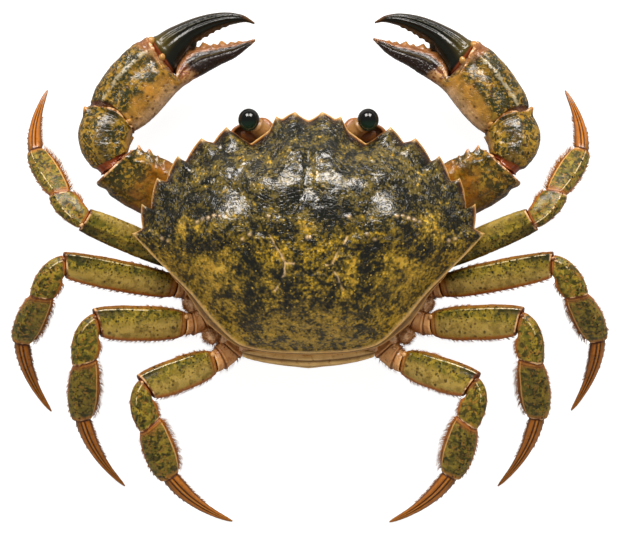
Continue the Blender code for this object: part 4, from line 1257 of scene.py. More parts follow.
def add_flank(side, finishes):
    """The body's side wall between the hips: soft lumps under the shell's rear margin, with short hair."""
    shapes, coats = [], []
    draw = np.random.default_rng(300 + SIDES.index(side))
    for order, centre in enumerate(FLANK_LUMPS):
        lump = ellipsoid(centre, FLANK_RADII, UP, 60, 80)
        away = unit(lump.points - np.array(centre)) * 0.5 * rough(lump.points, 1.3, 3, 151)[:, None]
        shapes.append(lump._replace(points=lump.points + away))
        aim = unit(draw.normal(0.0, 1.0, (FLANK_HAIRS, 3)))
        directions = unit(aim / FLANK_RADII + draw.normal(0.0, 0.25, aim.shape))
        lengths = draw.uniform(0.4, 1.1, FLANK_HAIRS)
        spots = np.column_stack(((order + 0.5 + 0.45 * aim[:, 0]) / len(FLANK_LUMPS), 0.5 + 0.45 * aim[:, 2]))
        coats.append(hairs(aim * FLANK_RADII + np.array(centre), directions, 0.0 * aim - UP, lengths, spots))
    add_piece(f"flank_{side}", shapes, finishes["flank"], "underside", (), side)
    add_hairs(f"flank_{side}_hair", coats, finishes, "underside", side)


def leg_bristles(number, plates, draw):
    """All the bristles of one leg, with their places on the flat map. The first leg's thigh has none."""
    kinds = list(LEG_PLATES)
    for fringe in FRINGES:
        if number == 1:
            if fringe.kind == "merus":
                continue
            fringe = fringe._replace(edge=-fringe.edge)
        cell = (kinds.index(fringe.kind) / len(kinds) + 0.01, 1.0 / len(kinds) - 0.02)
        yield fringe_hairs(plates[fringe.kind], fringe, draw, cell)


# ---------------------------------------------------------------- materials as arithmetic


class Value:
    """An output of a node. Arithmetic on it adds maths nodes to its tree."""

    def __init__(self, tree, socket):
        self.tree, self.socket = tree, socket

    def maths(self, operation, first, second=0.0):
        return put(self.tree, "Math", {0: first, 1: second}, operation=operation)

    def __add__(self, other):
        return self.maths("ADD", self, other)

    def __sub__(self, other):
        return self.maths("SUBTRACT", self, other)

    def __rsub__(self, other):
        return self.maths("SUBTRACT", other, self)

    def __mul__(self, other):
        return self.maths("MULTIPLY", self, other)

    def __lt__(self, other):
        return self.maths("LESS_THAN", self, other)

    def __abs__(self):
        return self.maths("ABSOLUTE", self)

    def sine(self):
        return self.maths("SINE", self)

    def or_more(self, other):
        """The larger of two values."""
        return self.maths("MAXIMUM", self, other)

    def ramp(self, low, high):
        """0 at low and 1 at high, with an s-curve between."""
        values = {"Value": self, "From Min": low, "From Max": high}
        return put(self.tree, "MapRange", values, interpolation_type="SMOOTHSTEP")

    def band(self, middle, width):
        """1 at the middle, falling to 0 at the width on each side."""
        return abs(self - middle).ramp(width, 0.25 * width)

    def mix(self, low, high):
        """The low colour where the value is 0, and the high colour where it is 1. A colour is another
        output, or screen values from 0 to 255."""
        colours = [shade if isinstance(shade, Value) else paint(*shade) for shade in (low, high)]
        return put(self.tree, "Mix", {0: self, 6: colours[0], 7: colours[1]}, 2, data_type="RGBA")

    def beside(self, output):
        """Another output of the same node."""
        return Value(self.tree, self.socket.node.outputs[output])

    def apart(self):
        """The three numbers of a vector or a colour."""
        first = put(self.tree, "SeparateXYZ", {0: self})
        return first, first.beside(1), first.beside(2)


def paint(red, green, blue):
    """A colour given as screen values from 0 to 255, as the linear values that the shaders mix."""
    screen = np.array((red, green, blue)) / 255.0
    linear = np.where(screen < 0.04045, screen / 12.92, ((screen + 0.055) / 1.055) ** 2.4)
    return (*linear, 1.0)


def put(tree, kind, values=(), output=0, **settings):
    """Adds a node and gives back one of its outputs. Settings are the node's own properties; values fill
    its inputs with numbers or with other outputs."""
    made = tree.nodes.new("ShaderNode" + kind)
    for name, setting in settings.items():
        setattr(made, name, setting)
    for key, value in dict(values).items():
        if isinstance(value, Value):
            tree.links.new(value.socket, made.inputs[key])
        else:
            made.inputs[key].default_value = value
    return Value(tree, made.outputs[output])


def spot_noise(where, scale, detail=3.0, warp=0.0):
    values = {"Vector": where, "Scale": scale, "Detail": detail, "Distortion": warp}
    return put(where.tree, "TexNoise", values, "Fac")


def cells(where, scale, feature="F1"):
    """The distance to the nearest of the points of a cell pattern."""
    return put(where.tree, "TexVoronoi", {"Vector": where, "Scale": scale}, "Distance", feature=feature)


def group(name, output, work, **inputs):
    """A shader node group: its output is what work makes of where it is and of the inputs."""
    tree = bpy.data.node_groups.new(name, "ShaderNodeTree")
    tree.interface.new_socket(name="Vector", in_out="INPUT", socket_type="NodeSocketVector")
    for label, default in inputs.items():
        socket = tree.interface.new_socket(name=label, in_out="INPUT", socket_type="NodeSocketFloat")
        socket.default_value = default
    tree.interface.new_socket(name=output, in_out="OUTPUT", socket_type="NodeSocketFloat")
    inlet = tree.nodes.new("NodeGroupInput").outputs
    result = work(*(Value(tree, inlet[label]) for label in ("Vector", *inputs)))
    tree.links.new(result.socket, tree.nodes.new("NodeGroupOutput").inputs[output])
    return tree


def use(made, where, *numbers):
    """The output of a group, at that place and with those inputs."""
    return put(where.tree, "Group", enumerate((where, *numbers)), node_tree=made)


def blotch_mask(where, scale, low, high, warp):
    """Blotches: noise bent by coarser noise, cut between two levels, with a broken edge."""
    return spot_noise(where, scale, 5.0, warp).ramp(low, high)


def speckle_mask(where, scale, size, amount):
    """Speckles: small soft spots in some of the cells of a cell pattern, of uneven size and place."""
    bent = put(where.tree, "TexNoise", {"Vector": where, "Scale": 1500.0}, "Color")
    nudge = put(where.tree, "VectorMath", {0: bent, "Scale": 0.0003}, operation="SCALE")
    spots = cells(put(where.tree, "VectorMath", {0: where, 1: nudge}, operation="ADD"), scale)
    chance, spread, _ = spots.beside("Color").apart()
    size = size * (spread + 0.4)
    return spots.ramp(size, size * 0.55) * (chance < amount)


def grain_height(where, ripple, wrinkle, grain, fine):
    """Wet shell grain as a height: narrow grooves that follow the ripple value, broken into short pieces,
    with round grains and fine pits on the flat skin between them."""
    wander = spot_noise(where, 800.0, 2.0) * 4.5
    groove = abs((ripple * 5.0 + wander).sine()).ramp(0.62, 0.02)
    broken = spot_noise(where, 640.0, 2.0).ramp(0.38, 0.54)
    round_grains = (1.0 - cells(where, 1250.0, "SMOOTH_F1")) * grain
    return (1.0 - groove * broken) * wrinkle + round_grains + spot_noise(where, 3200.0, 4.0) * fine


BLOTCHES = group("blotches", "Mask", blotch_mask, Scale=300.0, Low=0.45, High=0.6, Warp=0.8)
SPECKLES = group("speckles", "Mask", speckle_mask, Scale=900.0, Size=0.3, Amount=0.4)
SHELL_GRAIN = group("shell_grain", "Height", grain_height, Ripple=0.0, Wrinkle=1.0, Grain=0.5, Fine=0.3)


class Finish:
    """A material being made: its shader, the guides that every finish reads, and its colour so far."""

    def __init__(self, name, roughness, gloss=0.6):
        self.material = bpy.data.materials.new(name)
        self.material.use_nodes = True
        self.tree = self.material.node_tree
        self.inputs = self.tree.nodes["Principled BSDF"].inputs
        self.inputs["Roughness"].default_value = roughness
        self.inputs["Specular IOR Level"].default_value = gloss
        self.where = put(self.tree, "TexCoord", output="Object")
        self.place, self.marks = (
            put(self.tree, "Attribute", output="Vector", attribute_name=label).apart()
            for label in ("place", "marks")
        )
        self.shade = None

    def link(self, value, label):
        self.tree.links.new(value.socket, self.inputs[label])

    def noise(self, scale, detail=3.0, warp=0.0):
        return spot_noise(self.where, scale, detail, warp)

    def sway(self, scale, strength):
        """Noise on both sides of 0: added to a value, it makes a border that the value draws uneven."""
        return (self.noise(scale) - 0.5) * strength

    def blotches(self, scale, low, high, warp=0.8):
        return use(BLOTCHES, self.where, scale, low, high, warp)

    def speckles(self, scale, size, amount):
        return use(SPECKLES, self.where, scale, size, amount)

    def grain(self, wrinkle, grain, fine, ripple=0.0):
        return use(SHELL_GRAIN, self.where, ripple, wrinkle, grain, fine)

    def lay(self, factor, colour, strength=1.0):
        """Lays a colour over what is there, where the factor is 1."""
        self.shade = (factor * strength if strength < 1.0 else factor).mix(self.shade, colour)

    def roughness(self, value, low, high):
        """Roughness that goes evenly from low to high as the value goes from 0 to 1."""
        self.link(value * (high - low) + low, "Roughness")

    def finished(self, height, distance):
        """The material, with a height for its fine relief and how far that stands out, in metres."""
        values = {"Height": height, "Distance": distance, "Strength": 1.0}
        self.link(put(self.tree, "Bump", values, "Normal"), "Normal")
        self.link(self.shade, "Base Color")
        return self.material


# ---------------------------------------------------------------- finishes


def body_y(millimetres):
    """The frame's y for a y in the body."""
    return (millimetres + SHIFT[1]) * MM


def shell_finish():
    """Mottled wet shell: dark olive brown in front, ochre and olive behind, green-black patches, a pale
    raised margin, orange-edged teeth, and glossy wrinkled grain that is strongest in front, with painted
    shade in its grooves."""
    look = Finish("wet_shell", 0.3, 0.8)
    ripple, yellow, dark = look.place
    rim, pale, teeth = look.marks
    y = look.where.apart()[1] + look.sway(260.0, 0.008)
    front = y.ramp(body_y(5.0), body_y(-8.0))
    wet = y.ramp(body_y(14.0), body_y(-4.0))
    flank = (teeth + look.sway(330.0, 0.5)).ramp(-0.15, -0.7)
    rear = y.ramp(body_y(14.0), body_y(24.0)).or_more(flank * 0.8)
    cloud = look.noise(290.0, 6.0, 0.6) - 0.5
    grit = look.noise(1050.0) - 0.5
    granules = (0.42 - cells(look.where, 1700.0)) * 0.9
    tone = cloud * 3.0 + grit * 2.5 + granules + yellow * 0.6 - dark * 0.65 - front * 0.12
    tone = tone * (1.0 - rear * 0.05)
    look.shade = rear.mix(front.mix((92, 76, 18), (88, 76, 34)), (142, 114, 28))
    gold = front.mix((148, 120, 22), (112, 96, 42))
    look.lay(tone.ramp(0.02, 0.34), rear.mix(gold, (180, 144, 42)))
    look.lay(tone.ramp(0.42, 0.85), look.noise(600.0).mix((190, 126, 20), (228, 196, 68)))
    look.lay(tone.ramp(-0.06, -0.34), rear.mix((40, 37, 17), (66, 58, 18)), 0.95)
    look.lay(tone.ramp(-0.38, -0.72), rear.mix((17, 18, 11), (40, 36, 16)), 0.95)
    look.lay(look.speckles(620.0, 0.34, 0.3), (20, 18, 8), 0.85)
    look.lay(look.speckles(1300.0, 0.32, 0.35), (22, 20, 8), 0.85)
    look.lay(look.speckles(1400.0, 0.28, 0.25) * (0.8 - front * 0.7), (214, 176, 70))
    look.lay(teeth.ramp(0.35, 0.95), (54, 34, 26), 0.7)
    strong = (wet * 1.2 + 0.15) * teeth.ramp(1.8, 1.2)
    height = look.grain(strong, 3.0 - front * 2.2, 0.8, ripple)
    # Painted shade: the grooves of the wet wrinkles are darkened.
    look.lay(look.grain(1.0, 0.0, 0.0, ripple).ramp(0.6, 0.1) * wet, (34, 32, 18), 0.55)
    look.lay(pale, (255, 214, 156), 0.85)
    look.lay(teeth.band(1.0, 0.03) * look.noise(420.0).ramp(0.36, 0.52), (164, 98, 38), 0.6)
    hidden = look.blotches(420.0, 0.45, 0.6, 0.4).mix((84, 54, 32), (120, 86, 44))
    look.lay(teeth.ramp(1.5, 1.8), front.mix((160, 112, 66), hidden))
    look.lay(rim, look.noise(700.0).mix((216, 146, 62), (255, 224, 150)), 0.95)
    look.roughness(wet + look.sway(900.0, 0.5), 0.36, 0.16)
    return look.finished(height, 0.000055)


def leg_finish(name, kind):
    """Olive leg plates: green with dark speckles above, tan behind and below, a glossy ridge with a pale
    painted highlight along it, orange-brown edges and joints, and a thin paler rim."""
    look = Finish(name, 0.24, 0.55)
    along, side, high = look.place
    look.shade = look.blotches(380.0, 0.4, 0.62).mix((132, 112, 30), (92, 88, 22))
    look.lay(look.blotches(700.0, 0.5, 0.6), (162, 138, 42), 0.85)
    look.lay(look.blotches(1000.0, 0.53, 0.6, 0.3), (50, 52, 14), 0.8)
    look.lay((high + look.sway(500.0, 0.6)).ramp(0.1, -0.6), (162, 118, 50), 0.85)
    if kind == "merus":
        rear = (side + along * 0.5 + look.sway(420.0, 0.8)).ramp(0.35, -0.3)
        look.lay(rear, look.noise(500.0).mix((146, 118, 38), (200, 170, 90)), 0.85)
        look.lay(rear * look.blotches(560.0, 0.5, 0.6, 0.3), (112, 90, 28), 0.6)
        look.lay(rear * look.speckles(900.0, 0.34, 0.45), (50, 38, 12), 0.8)
        reach = along.ramp(0.5, 1.0) * side.ramp(-0.4, 0.45)
        look.lay((reach + look.sway(500.0, 0.6)).ramp(0.1, 0.9), (36, 36, 16), 0.85)
        front = look.noise(700.0).mix((92, 58, 18), (162, 108, 40))
        look.lay((side + look.sway(600.0, 0.1)).ramp(0.53, 0.63), front, 0.9)
        # Painted highlight: a pale broken streak along the thigh's carina.
        painted_ridge_highlight = (side + look.sway(900.0, 0.08)).band(0.47, 0.06) * along.ramp(0.2, 0.6)
        look.lay(painted_ridge_highlight * look.blotches(700.0, 0.4, 0.5), (236, 214, 162), 0.75)
    else:
        look.lay(look.blotches(820.0, 0.5, 0.57, 0.4), (44, 42, 13), 0.8)
        look.lay(look.blotches(1000.0, 0.55, 0.62, 0.4), (176, 128, 44), 0.7)
        # Painted highlight along the carpus's ridge near its start, and along every ridge of the first leg,
        # whose third mark is set to 1.
        reach = along.ramp(0.5, 0.3) if kind == "carpus" else 0.0
        painted_ridge_highlight = side.band(0.27, 0.07) * look.marks[2].or_more(reach)
        look.lay(painted_ridge_highlight * look.blotches(600.0, 0.44, 0.5), (240, 216, 166), 0.8)
    if kind == "propodus":
        look.lay((along + look.sway(500.0, 0.1)).ramp(0.9, 0.98), (190, 122, 40), 0.7)
    upper = (side + look.sway(300.0, 1.2)).ramp(-1.1, 0.1)
    look.lay(look.speckles(1250.0, 0.38, 0.5) * upper, (28, 26, 8), 0.95)
    look.lay(look.speckles(2100.0, 0.42, 0.55) * upper, (40, 32, 10), 0.9)
    look.lay(look.speckles(1100.0, 0.3, 0.25), (76, 44, 14), 0.8)
    look.lay((abs(side) + look.sway(800.0, 0.1)).ramp(0.86, 0.97), (174, 98, 30), 0.9)
    if kind == "propodus":
        look.lay(side.band(-0.86, 0.05), (232, 172, 98), 0.8)
    look.lay((along + look.sway(500.0, 0.06)).ramp(0.11, 0.02), (184, 112, 42), 0.7)
    look.lay(along.band(0.05, 0.014) * look.noise(700.0), (88, 36, 10))
    # Pale and brown rims; the hinge knobs take these too, where the cream is partly a painted highlight.
    rim = look.noise(460.0).ramp(0.47, 0.6).mix((104, 52, 18), (236, 186, 132))
    look.lay(look.marks[0], rim, 0.9)
    look.lay(look.marks[1], look.noise(900.0).mix((70, 24, 8), (196, 108, 46)))
    ridge, *glossy = (0.45, 0.12, 0.46) if kind == "merus" else (0.27, 0.2, 0.56)
    look.roughness(look.noise(1200.0) * (1.0 - side.band(ridge, 0.14) * 0.8), *glossy)
    return look.finished(look.grain(0.0, 0.6, 0.5), 0.00006)


def stretched_noise(look, share, scale):
    """Noise drawn out upwards, as fine lines."""
    values = {"Vector": look.where, "Scale": (1.0, 1.0, share)}
    return spot_noise(put(look.tree, "Mapping", values), scale, 4.0)


def toe_finish():
    """Orange-brown horn of the toes: dark in the grooves and along the edges, paler at the point."""
    look = Finish("toe_horn", 0.28, 0.6)
    along, side, _ = look.place
    look.shade = look.noise(600.0, 4.0).mix((150, 82, 15), (206, 126, 32))
    spread = abs(side)
    look.lay(spread.band(0.25, 0.17), (52, 24, 8), 0.9)
    look.lay(spread.ramp(0.74, 0.98), (84, 40, 9), 0.8)
    look.lay(spread.ramp(0.1, 0.0), (214, 152, 62), 0.5)
    look.lay(along.ramp(0.25, 0.02) * side.ramp(0.1, 0.7), (84, 64, 21), 0.6)
    look.lay(look.marks[1], (78, 34, 10))
    look.roughness(look.noise(1200.0), 0.15, 0.45)
    return look.finished(stretched_noise(look, 0.35, 2600.0), 0.00005)


def claw_finish(name, kind):
    """Claw shell: mottled olive, green and ochre above, cream orange below and inside, with small brown
    dots. The palm's fixed finger turns black brown with a tan cutting band."""
    look = Finish(name, 0.24, 0.75)
    along, side, high = look.place
    look.shade = look.blotches(300.0, 0.42, 0.6).mix((138, 100, 27), (88, 74, 20))
    look.lay(look.blotches(620.0, 0.5, 0.6, 0.3), (170, 128, 36), 0.9)
    cream = look.noise(350.0).mix((184, 120, 36), (200, 150, 62))
    if kind == "palm":
        inner = (side + look.sway(330.0, 0.7)).ramp(-0.2, -0.55)
        cream = side.ramp(-0.66, -1.0).mix(cream, (244, 200, 152))
    elif kind == "arm":
        inner = (along + look.sway(260.0, 0.5)).ramp(0.92, 0.5)
        cream = look.noise(350.0).mix((150, 84, 14), (184, 114, 26))
    else:
        inner = (side + look.sway(330.0, 0.4)).ramp(-0.72, -0.95)
    below = inner.or_more((high + look.sway(330.0, 0.5)).ramp(-0.1, -0.5))
    look.lay(below, cream, 0.92)
    upper = 1.0 - below * 0.75
    look.lay(look.blotches(340.0, 0.43, 0.51, 0.4) * upper, (38, 44, 17), 0.94)
    look.lay(look.blotches(520.0, 0.56, 0.63, 0.3) * upper, (166, 128, 36), 0.8)
    look.lay(look.blotches(900.0, 0.52, 0.58, 0.3) * upper, (58, 50, 17), 0.85)
    look.lay(look.blotches(1300.0, 0.54, 0.6, 0.2) * upper, (166, 130, 44), 0.7)
    look.lay(look.speckles(820.0, 0.32, 0.55), (84, 50, 13), 0.8)
    look.lay(look.speckles(480.0, 0.4, 0.4) * upper, (40, 36, 14), 0.85)
    if kind == "palm":
        wide = along + look.sway(500.0, 2.0)
        # Painted highlight: a pale broken streak along the palm's crest.
        crest = (side + look.sway(700.0, 0.15)).band(0.42, 0.1) * along.ramp(19.0, 16.0)
        look.lay(crest * look.blotches(620.0, 0.44, 0.52), (214, 198, 160), 0.5)
        turning = look.blotches(700.0, 0.45, 0.6).mix((206, 156, 100), (128, 66, 32))
        look.lay(wide.ramp(15.5, 18.5), turning)
        look.lay(wide.ramp(18.2, 21.0), (36, 24, 18))
        cutting = (side + look.sway(900.0, 0.3)).ramp(0.35, 0.55) * along.ramp(15.5, 17.5)
        cutting = cutting * along.ramp(34.0, 32.5)
        look.lay(cutting, look.noise(900.0, 4.0).mix((84, 42, 20), (178, 118, 66)))
        look.lay(side.band(0.02, 0.1) * along.ramp(21.0, 23.0), (128, 112, 71), 0.5)
        look.lay(along.ramp(32.5, 34.4), (158, 98, 40))
        look.lay(look.marks[2], (206, 150, 71), 0.7)
    else:
        look.lay(look.marks[2].ramp(0.2, 0.8), (226, 150, 76))
    if kind == "wrist":
        crown = side.ramp(-0.5, 0.0) * side.ramp(0.5, 0.15)
        crown = crown * (high + look.sway(300.0, 0.6)).ramp(0.5, 0.95)
        look.lay(crown, (38, 36, 20), 0.65)
        look.lay(look.blotches(420.0, 0.54, 0.6, 1.2) * (1.0 - crown), (178, 140, 40), 0.8)
    look.lay(look.marks[0], (150, 88, 38), 0.7)
    look.lay(look.marks[0] * look.noise(700.0).ramp(0.47, 0.56), (240, 190, 136), 0.9)
    # On the palm the socket mark, which takes in the strip under the wrist's rim, is painted near-black as
    # painted shade; elsewhere it is the flesh of the joints.
    flesh_and_shade = ((34, 16, 8), (104, 48, 22)) if kind == "palm" else ((112, 38, 12), (180, 92, 38))
    look.lay(look.marks[1], look.noise(700.0).mix(*flesh_and_shade))
    look.roughness(look.noise(900.0), 0.05, 0.3 if kind == "wrist" else 0.4)
    lines = look.noise(260.0) * 9.0
    return look.finished(look.grain(0.0 if kind == "arm" else 0.5, 0.6, 0.4, lines), 0.00014)


def finger_finish():
    """Polished green-black horn: olive at the root, brown orange at the tip, and a pale painted highlight
    along the ridge.
    """
    look = Finish("finger_horn", 0.2, 0.55)
    along, side, _ = look.place
    look.shade = look.noise(420.0, 4.0).mix((12, 14, 10), (24, 24, 15))
    root = (along + look.sway(420.0, 3.0)).ramp(25.5, 20.0) * side.ramp(-0.5, 0.4)
    look.lay(root, (86, 74, 25), 0.85)
    look.lay(side.ramp(0.6, 0.95), (70, 54, 22), 0.6)
    # Painted highlight: a pale broken streak along the finger's ridge.
    look.lay(side.band(0.3, 0.1) * look.blotches(900.0, 0.4, 0.6), (130, 126, 104), 0.3)
    look.lay((along + look.sway(500.0, 1.5)).ramp(36.2, 38.4), (128, 80, 36), 0.85)
    look.lay(side.ramp(-0.8, -1.0) * along.ramp(24.0, 29.0), (84, 54, 24), 0.7)
    look.lay(look.marks[1], look.noise(700.0).mix((84, 30, 12), (168, 84, 44)))
    look.roughness(look.noise(900.0), 0.05, 0.32)
    return look.finished(stretched_noise(look, 0.5, 1500.0), 0.00008)


def pale_finish(name, light, deep, seam, roughness=0.36):
    """Pale shell of the underside, hips and tail: cream tan with warmer clouds, fine pores and dark
    seams."""
    look = Finish(name, roughness, 0.5)
    look.shade = look.noise(240.0, 4.0, 0.5).mix(deep, light)
    look.lay(look.blotches(800.0, 0.52, 0.66), deep, 0.6)
    look.lay(look.speckles(1100.0, 0.25, 0.3), seam, 0.5)
    look.lay(look.marks[0], light, 0.6)
    look.lay(look.marks[1], seam, 0.85)
    return look.finished(look.grain(0.0, 0.5, 0.5), 0.00009)


def breast_finish():
    """Shell of the breast and face: pale cream below, tan and olive mottled on the front and side walls,
    with granules and dark seams."""
    look = Finish("breast_shell", 0.32, 0.6)
    look.shade = look.noise(240.0, 4.0, 0.5).mix((204, 156, 86), (232, 200, 136))
    look.lay(look.blotches(800.0, 0.52, 0.66), (184, 134, 68), 0.5)
    wall = (look.place[2] + look.sway(300.0, 0.3)).ramp(0.12, 0.5)
    look.lay(wall, look.blotches(420.0, 0.45, 0.6, 0.4).mix((176, 122, 58), (104, 88, 40)), 0.85)
    look.lay(wall * look.blotches(900.0, 0.54, 0.62, 0.3), (66, 56, 24), 0.6)
    look.lay(look.speckles(1000.0, 0.3, 0.35), (112, 74, 34), 0.6)
    look.lay(look.marks[1], (104, 62, 26), 0.85)
    return look.finished(look.grain(0.0, 1.2, 0.6), 0.00012)


def eye_finish():
    """Glossy black-green eye, greener towards the back and below."""
    look = Finish("eye_gloss", 0.09, 0.6)
    look.shade = look.place[1].ramp(-0.1, 0.9).mix((8, 8, 8), (24, 58, 40))
    look.lay(look.noise(1400.0), (36, 38, 24), 0.2)
    return look.finished(cells(look.where, 9000.0), 0.000002)


def horn_finish(name, light, deep, hollow):
    """Tan to orange-brown shell of eyestalks, sockets, feelers and bristles, darker in hollows."""
    look = Finish(name, 0.32, 0.6)
    look.shade = look.noise(700.0, 4.0).mix(deep, light)
    look.lay(look.blotches(1200.0, 0.55, 0.65), deep, 0.5)
    look.lay(look.marks[1], hollow, 0.9)
    return look.finished(look.grain(0.0, 0.4, 0.5), 0.00005)


# ---------------------------------------------------------------- the animal, plate by plate


def add_leg(number, leg, side, finishes):
    plates = leg_plates(number, leg, side)
    knobs = {
        kind: [knob_on(plates[under], len(NOSE) + row, across, radius)]
        for kind, (under, row, across, radius) in LEG_KNOBS.items()
    }
    slots = {"hip": "underside", "dactyl": "toe"}
    for kind, plate in plates.items():
        if number == 1:
            # The first leg has the painted ridge highlight all along; its thigh has the colours of a thigh's
            # rear.
            plate.marks[..., 2] = 1.0
            if kind == "merus":
                plate.place[..., 1] = 0.5 * plate.place[..., 1] - 0.25
        node = f"leg{number}_{side}_{kind}"
        shapes = [shape_of(plate), *knobs.get(kind, ())]
        add_piece(node + "_plate", shapes, finishes[kind], slots.get(kind, "leg"), [node], side)
    draw = np.random.default_rng(100 * number + SIDES.index(side))
    coats = leg_bristles(number, plates, draw)
    add_hairs(f"leg{number}_{side}_bristles", coats, finishes, "leg", side)


def add_claw(side, finishes):
    palm = PALMS[side]
    plates = {"arm": arm_plate(), "carpus": wrist_plate(palm), "palm": palm_plate(palm)}
    plates["finger"] = finger_plate(palm)
    for kind, plate in plates.items():
        node = f"claw_{side}_{kind}"
        shapes = [shape_of(plate), *(hinge_knobs(palm) if kind == "palm" else ())]
        finish = finishes["wrist" if kind == "carpus" else kind]
        add_piece(node + "_plate", shapes, finish, "finger" if kind == "finger" else "claw", [node], side)


def joint_rings(spacing, depth, start=0.0):
    """The relief of a feeler: a narrow ring cut at every spacing, beyond the start."""
    return lambda run, share: -depth * hill(run % spacing, 0.0, 0.06) * (run > start)


def palp_rings(run, share):
    """The relief of the mouth's feeler: two rings between its three joints."""
    return hills(share, (-0.12, 0.34, 0.03), (-0.08, 0.68, 0.03))


def add_head(side, finishes):
    add_piece(f"eye_{side}_ball", [eye_shape()], finishes["eye"], "eye", [f"eye_{side}"], side)
    add_piece(f"eyestalk_{side}_cup", [stalk_shape()], finishes["stalk"], "stalk", [f"eyestalk_{side}"], side)
    cushion = ellipsoid(CUSHION_CENTRE, CUSHION_RADII, UP, 40, 60)
    add_piece(f"orbit_{side}", [orbit_shape(), cushion], finishes["orbit"], "stalk", (), side)
    feelers = [
        path_tube(ANTENNA_PATH, 260, 40, joint_rings(0.35, 0.05, LASH_START)),
        path_tube(ANTENNULE_PATH, 120, 36, joint_rings(0.4, 0.06, -1.0)),
    ]
    add_piece(f"antenna_{side}_joints", feelers, finishes["orbit"], "stalk", [f"antenna_{side}"], side)
    plate = mouth_plate()
    mouth = [shape_of(plate), path_tube(PALP_PATH, 50, 40, palp_rings)]
    add_piece(f"mouth_{side}", mouth, finishes["mouth"], "underside", [f"mouth_plate_{side}"], side)
    draw = np.random.default_rng(500 + SIDES.index(side))
    strips = [(order / len(MOUTH_FRINGES) + 0.02, 0.4) for order in range(len(MOUTH_FRINGES))]
    coats = [fringe_hairs(plate, fringe, draw, strip) for fringe, strip in zip(MOUTH_FRINGES, strips)]
    add_hairs(f"mouth_{side}_hair", coats, finishes, "underside", side)


def build_animal():
    finishes = {
        "hip": pale_finish("hip_shell", (248, 196, 130), (192, 120, 62), (82, 30, 12), 0.2),
        "merus": leg_finish("leg_merus_shell", "merus"),
        "dactyl": toe_finish(),
        "finger": finger_finish(),
        "arm": claw_finish("arm_shell", "arm"),
        "wrist": claw_finish("wrist_shell", "wrist"),
        "palm": claw_finish("palm_shell", "palm"),
        "eye": eye_finish(),
        "underbody": breast_finish(),
        "mouth": pale_finish("mouth_shell", (222, 176, 108), (164, 114, 56), (88, 50, 22)),
        "tail": pale_finish("tail_shell", (255, 220, 148), (186, 134, 66), (84, 48, 20)),
        "stalk": horn_finish("stalk_shell", (198, 150, 88), (122, 76, 36), (90, 50, 18)),
        "orbit": horn_finish("socket_shell", (190, 122, 60), (118, 66, 28), (74, 36, 14)),
        "bristle": horn_finish("bristle", (204, 136, 60), (146, 90, 36), (80, 46, 22)),
        "flank": pale_finish("flank_shell", (250, 208, 160), (190, 144, 100), (90, 50, 26)),
        "carpus": leg_finish("leg_carpus_shell", "carpus"),
        "propodus": leg_finish("leg_propodus_shell", "propodus"),
    }
    add_piece("shell", [shell_shape()], shell_finish(), "shell", ["carapace"])
    add_piece("breast", [underbody_shape()], finishes["underbody"], "underside", ["underbody"])
    add_piece("tail_flap", [tail_shape()], finishes["tail"], "underside", ["abdomen"])
    for side in SIDES:
        add_head(side, finishes)
        add_claw(side, finishes)
        add_flank(side, finishes)
        for number, leg in enumerate(LEGS, start=1):
            add_leg(number, leg, side, finishes)


# ---------------------------------------------------------------- floor, light and camera

CAMERA_PLACE = (0.00028, -0.00076, 0.798)
CAMERA_LENS = 199.97
WHITE = (1.0, 1.0, 1.0, 1.0)
FLOOR_SIZE = 4.0
FLOOR_GREY = (0.36, 0.36, 0.36, 1.0)
# How much the floor is lifted towards white, only as the camera sees it.
FLOOR_LIFT = 0.9
SURROUND_STRENGTH = 0.15
LIGHT_COLOUR = (1.0, 0.95, 0.905)
LIGHT_AIM = np.array((0.0, 0.0, 0.015))
# Softboxes: name, place in metres, size, power, and whether the wet shell mirrors it as a shine.
SOFTBOXES = (
    ("left_key", (0.26, -0.65, 0.56), (0.36, 0.4), 6.2, True),
    ("right_key", (-0.26, -0.65, 0.56), (0.36, 0.4), 6.2, True),
    ("left_fill", (0.85, 0.2, 0.4), (0.9, 0.5), 2.2, False),
    ("right_fill", (-0.85, 0.2, 0.4), (0.9, 0.5), 2.2, False),
    ("tail_fill", (0.0, 0.9, 0.38), (1.2, 0.4), 2.0, False),
)


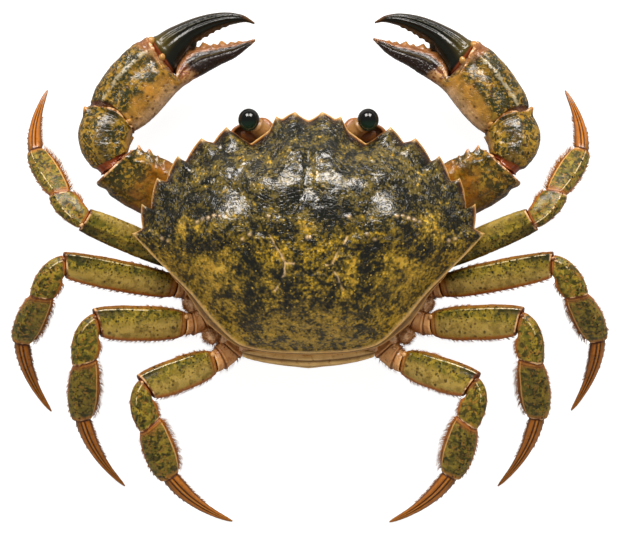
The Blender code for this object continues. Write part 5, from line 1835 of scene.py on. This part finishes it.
def place_object(name, data, place=(0.0, 0.0, 0.0)):
    item = bpy.data.objects.new(name, data)
    item.location = place
    bpy.context.scene.collection.objects.link(item)
    return item


def add_softbox(name, place, size, power, mirrored_in_shine):
    """A rectangular area light that looks at the animal."""
    light = bpy.data.lights.new(name, "AREA")
    light.shape = "RECTANGLE"
    light.size, light.size_y = size
    light.energy = power
    light.color = LIGHT_COLOUR
    item = place_object(name, light, place)
    item.visible_glossy = mirrored_in_shine
    away = np.array(item.location) - LIGHT_AIM
    item.rotation_euler = (math.acos(away[2] / np.linalg.norm(away)), 0.0, math.atan2(away[0], -away[1]))


def build_stage():
    """A plain white floor, an even pale surround, softboxes and the camera straight above."""
    mesh = bpy.data.meshes.new("floor")
    half = FLOOR_SIZE / 2.0
    corners = ((-half, -half, 0.0), (half, -half, 0.0), (half, half, 0.0), (-half, half, 0.0))
    mesh.from_pydata(corners, [], [(0, 1, 2, 3)])
    floor = place_object("floor", mesh)
    white = bpy.data.materials.new("floor_white")
    white.use_nodes = True
    tree = white.node_tree
    inputs = tree.nodes["Principled BSDF"].inputs
    inputs["Base Color"].default_value = FLOOR_GREY
    inputs["Roughness"].default_value = 0.95
    inputs["Specular IOR Level"].default_value = 0.0
    inputs["Emission Color"].default_value = WHITE
    lift = put(tree, "LightPath", output="Is Camera Ray") * FLOOR_LIFT
    tree.links.new(lift.socket, inputs["Emission Strength"])
    mesh.materials.append(white)
    world = bpy.data.worlds.new("surround")
    world.use_nodes = True
    surround = world.node_tree.nodes["Background"].inputs
    surround["Color"].default_value = WHITE
    surround["Strength"].default_value = SURROUND_STRENGTH
    bpy.context.scene.world = world
    for softbox in SOFTBOXES:
        add_softbox(*softbox)
    camera = bpy.data.cameras.new("camera")
    camera.lens = CAMERA_LENS
    camera.clip_start, camera.clip_end = 0.01, 10.0
    item = place_object("camera", camera, CAMERA_PLACE)
    item.rotation_euler = (0.0, 0.0, math.pi)
    bpy.context.scene.camera = item
    bpy.context.scene.view_settings.view_transform = "Standard"


build_animal()
build_stage()
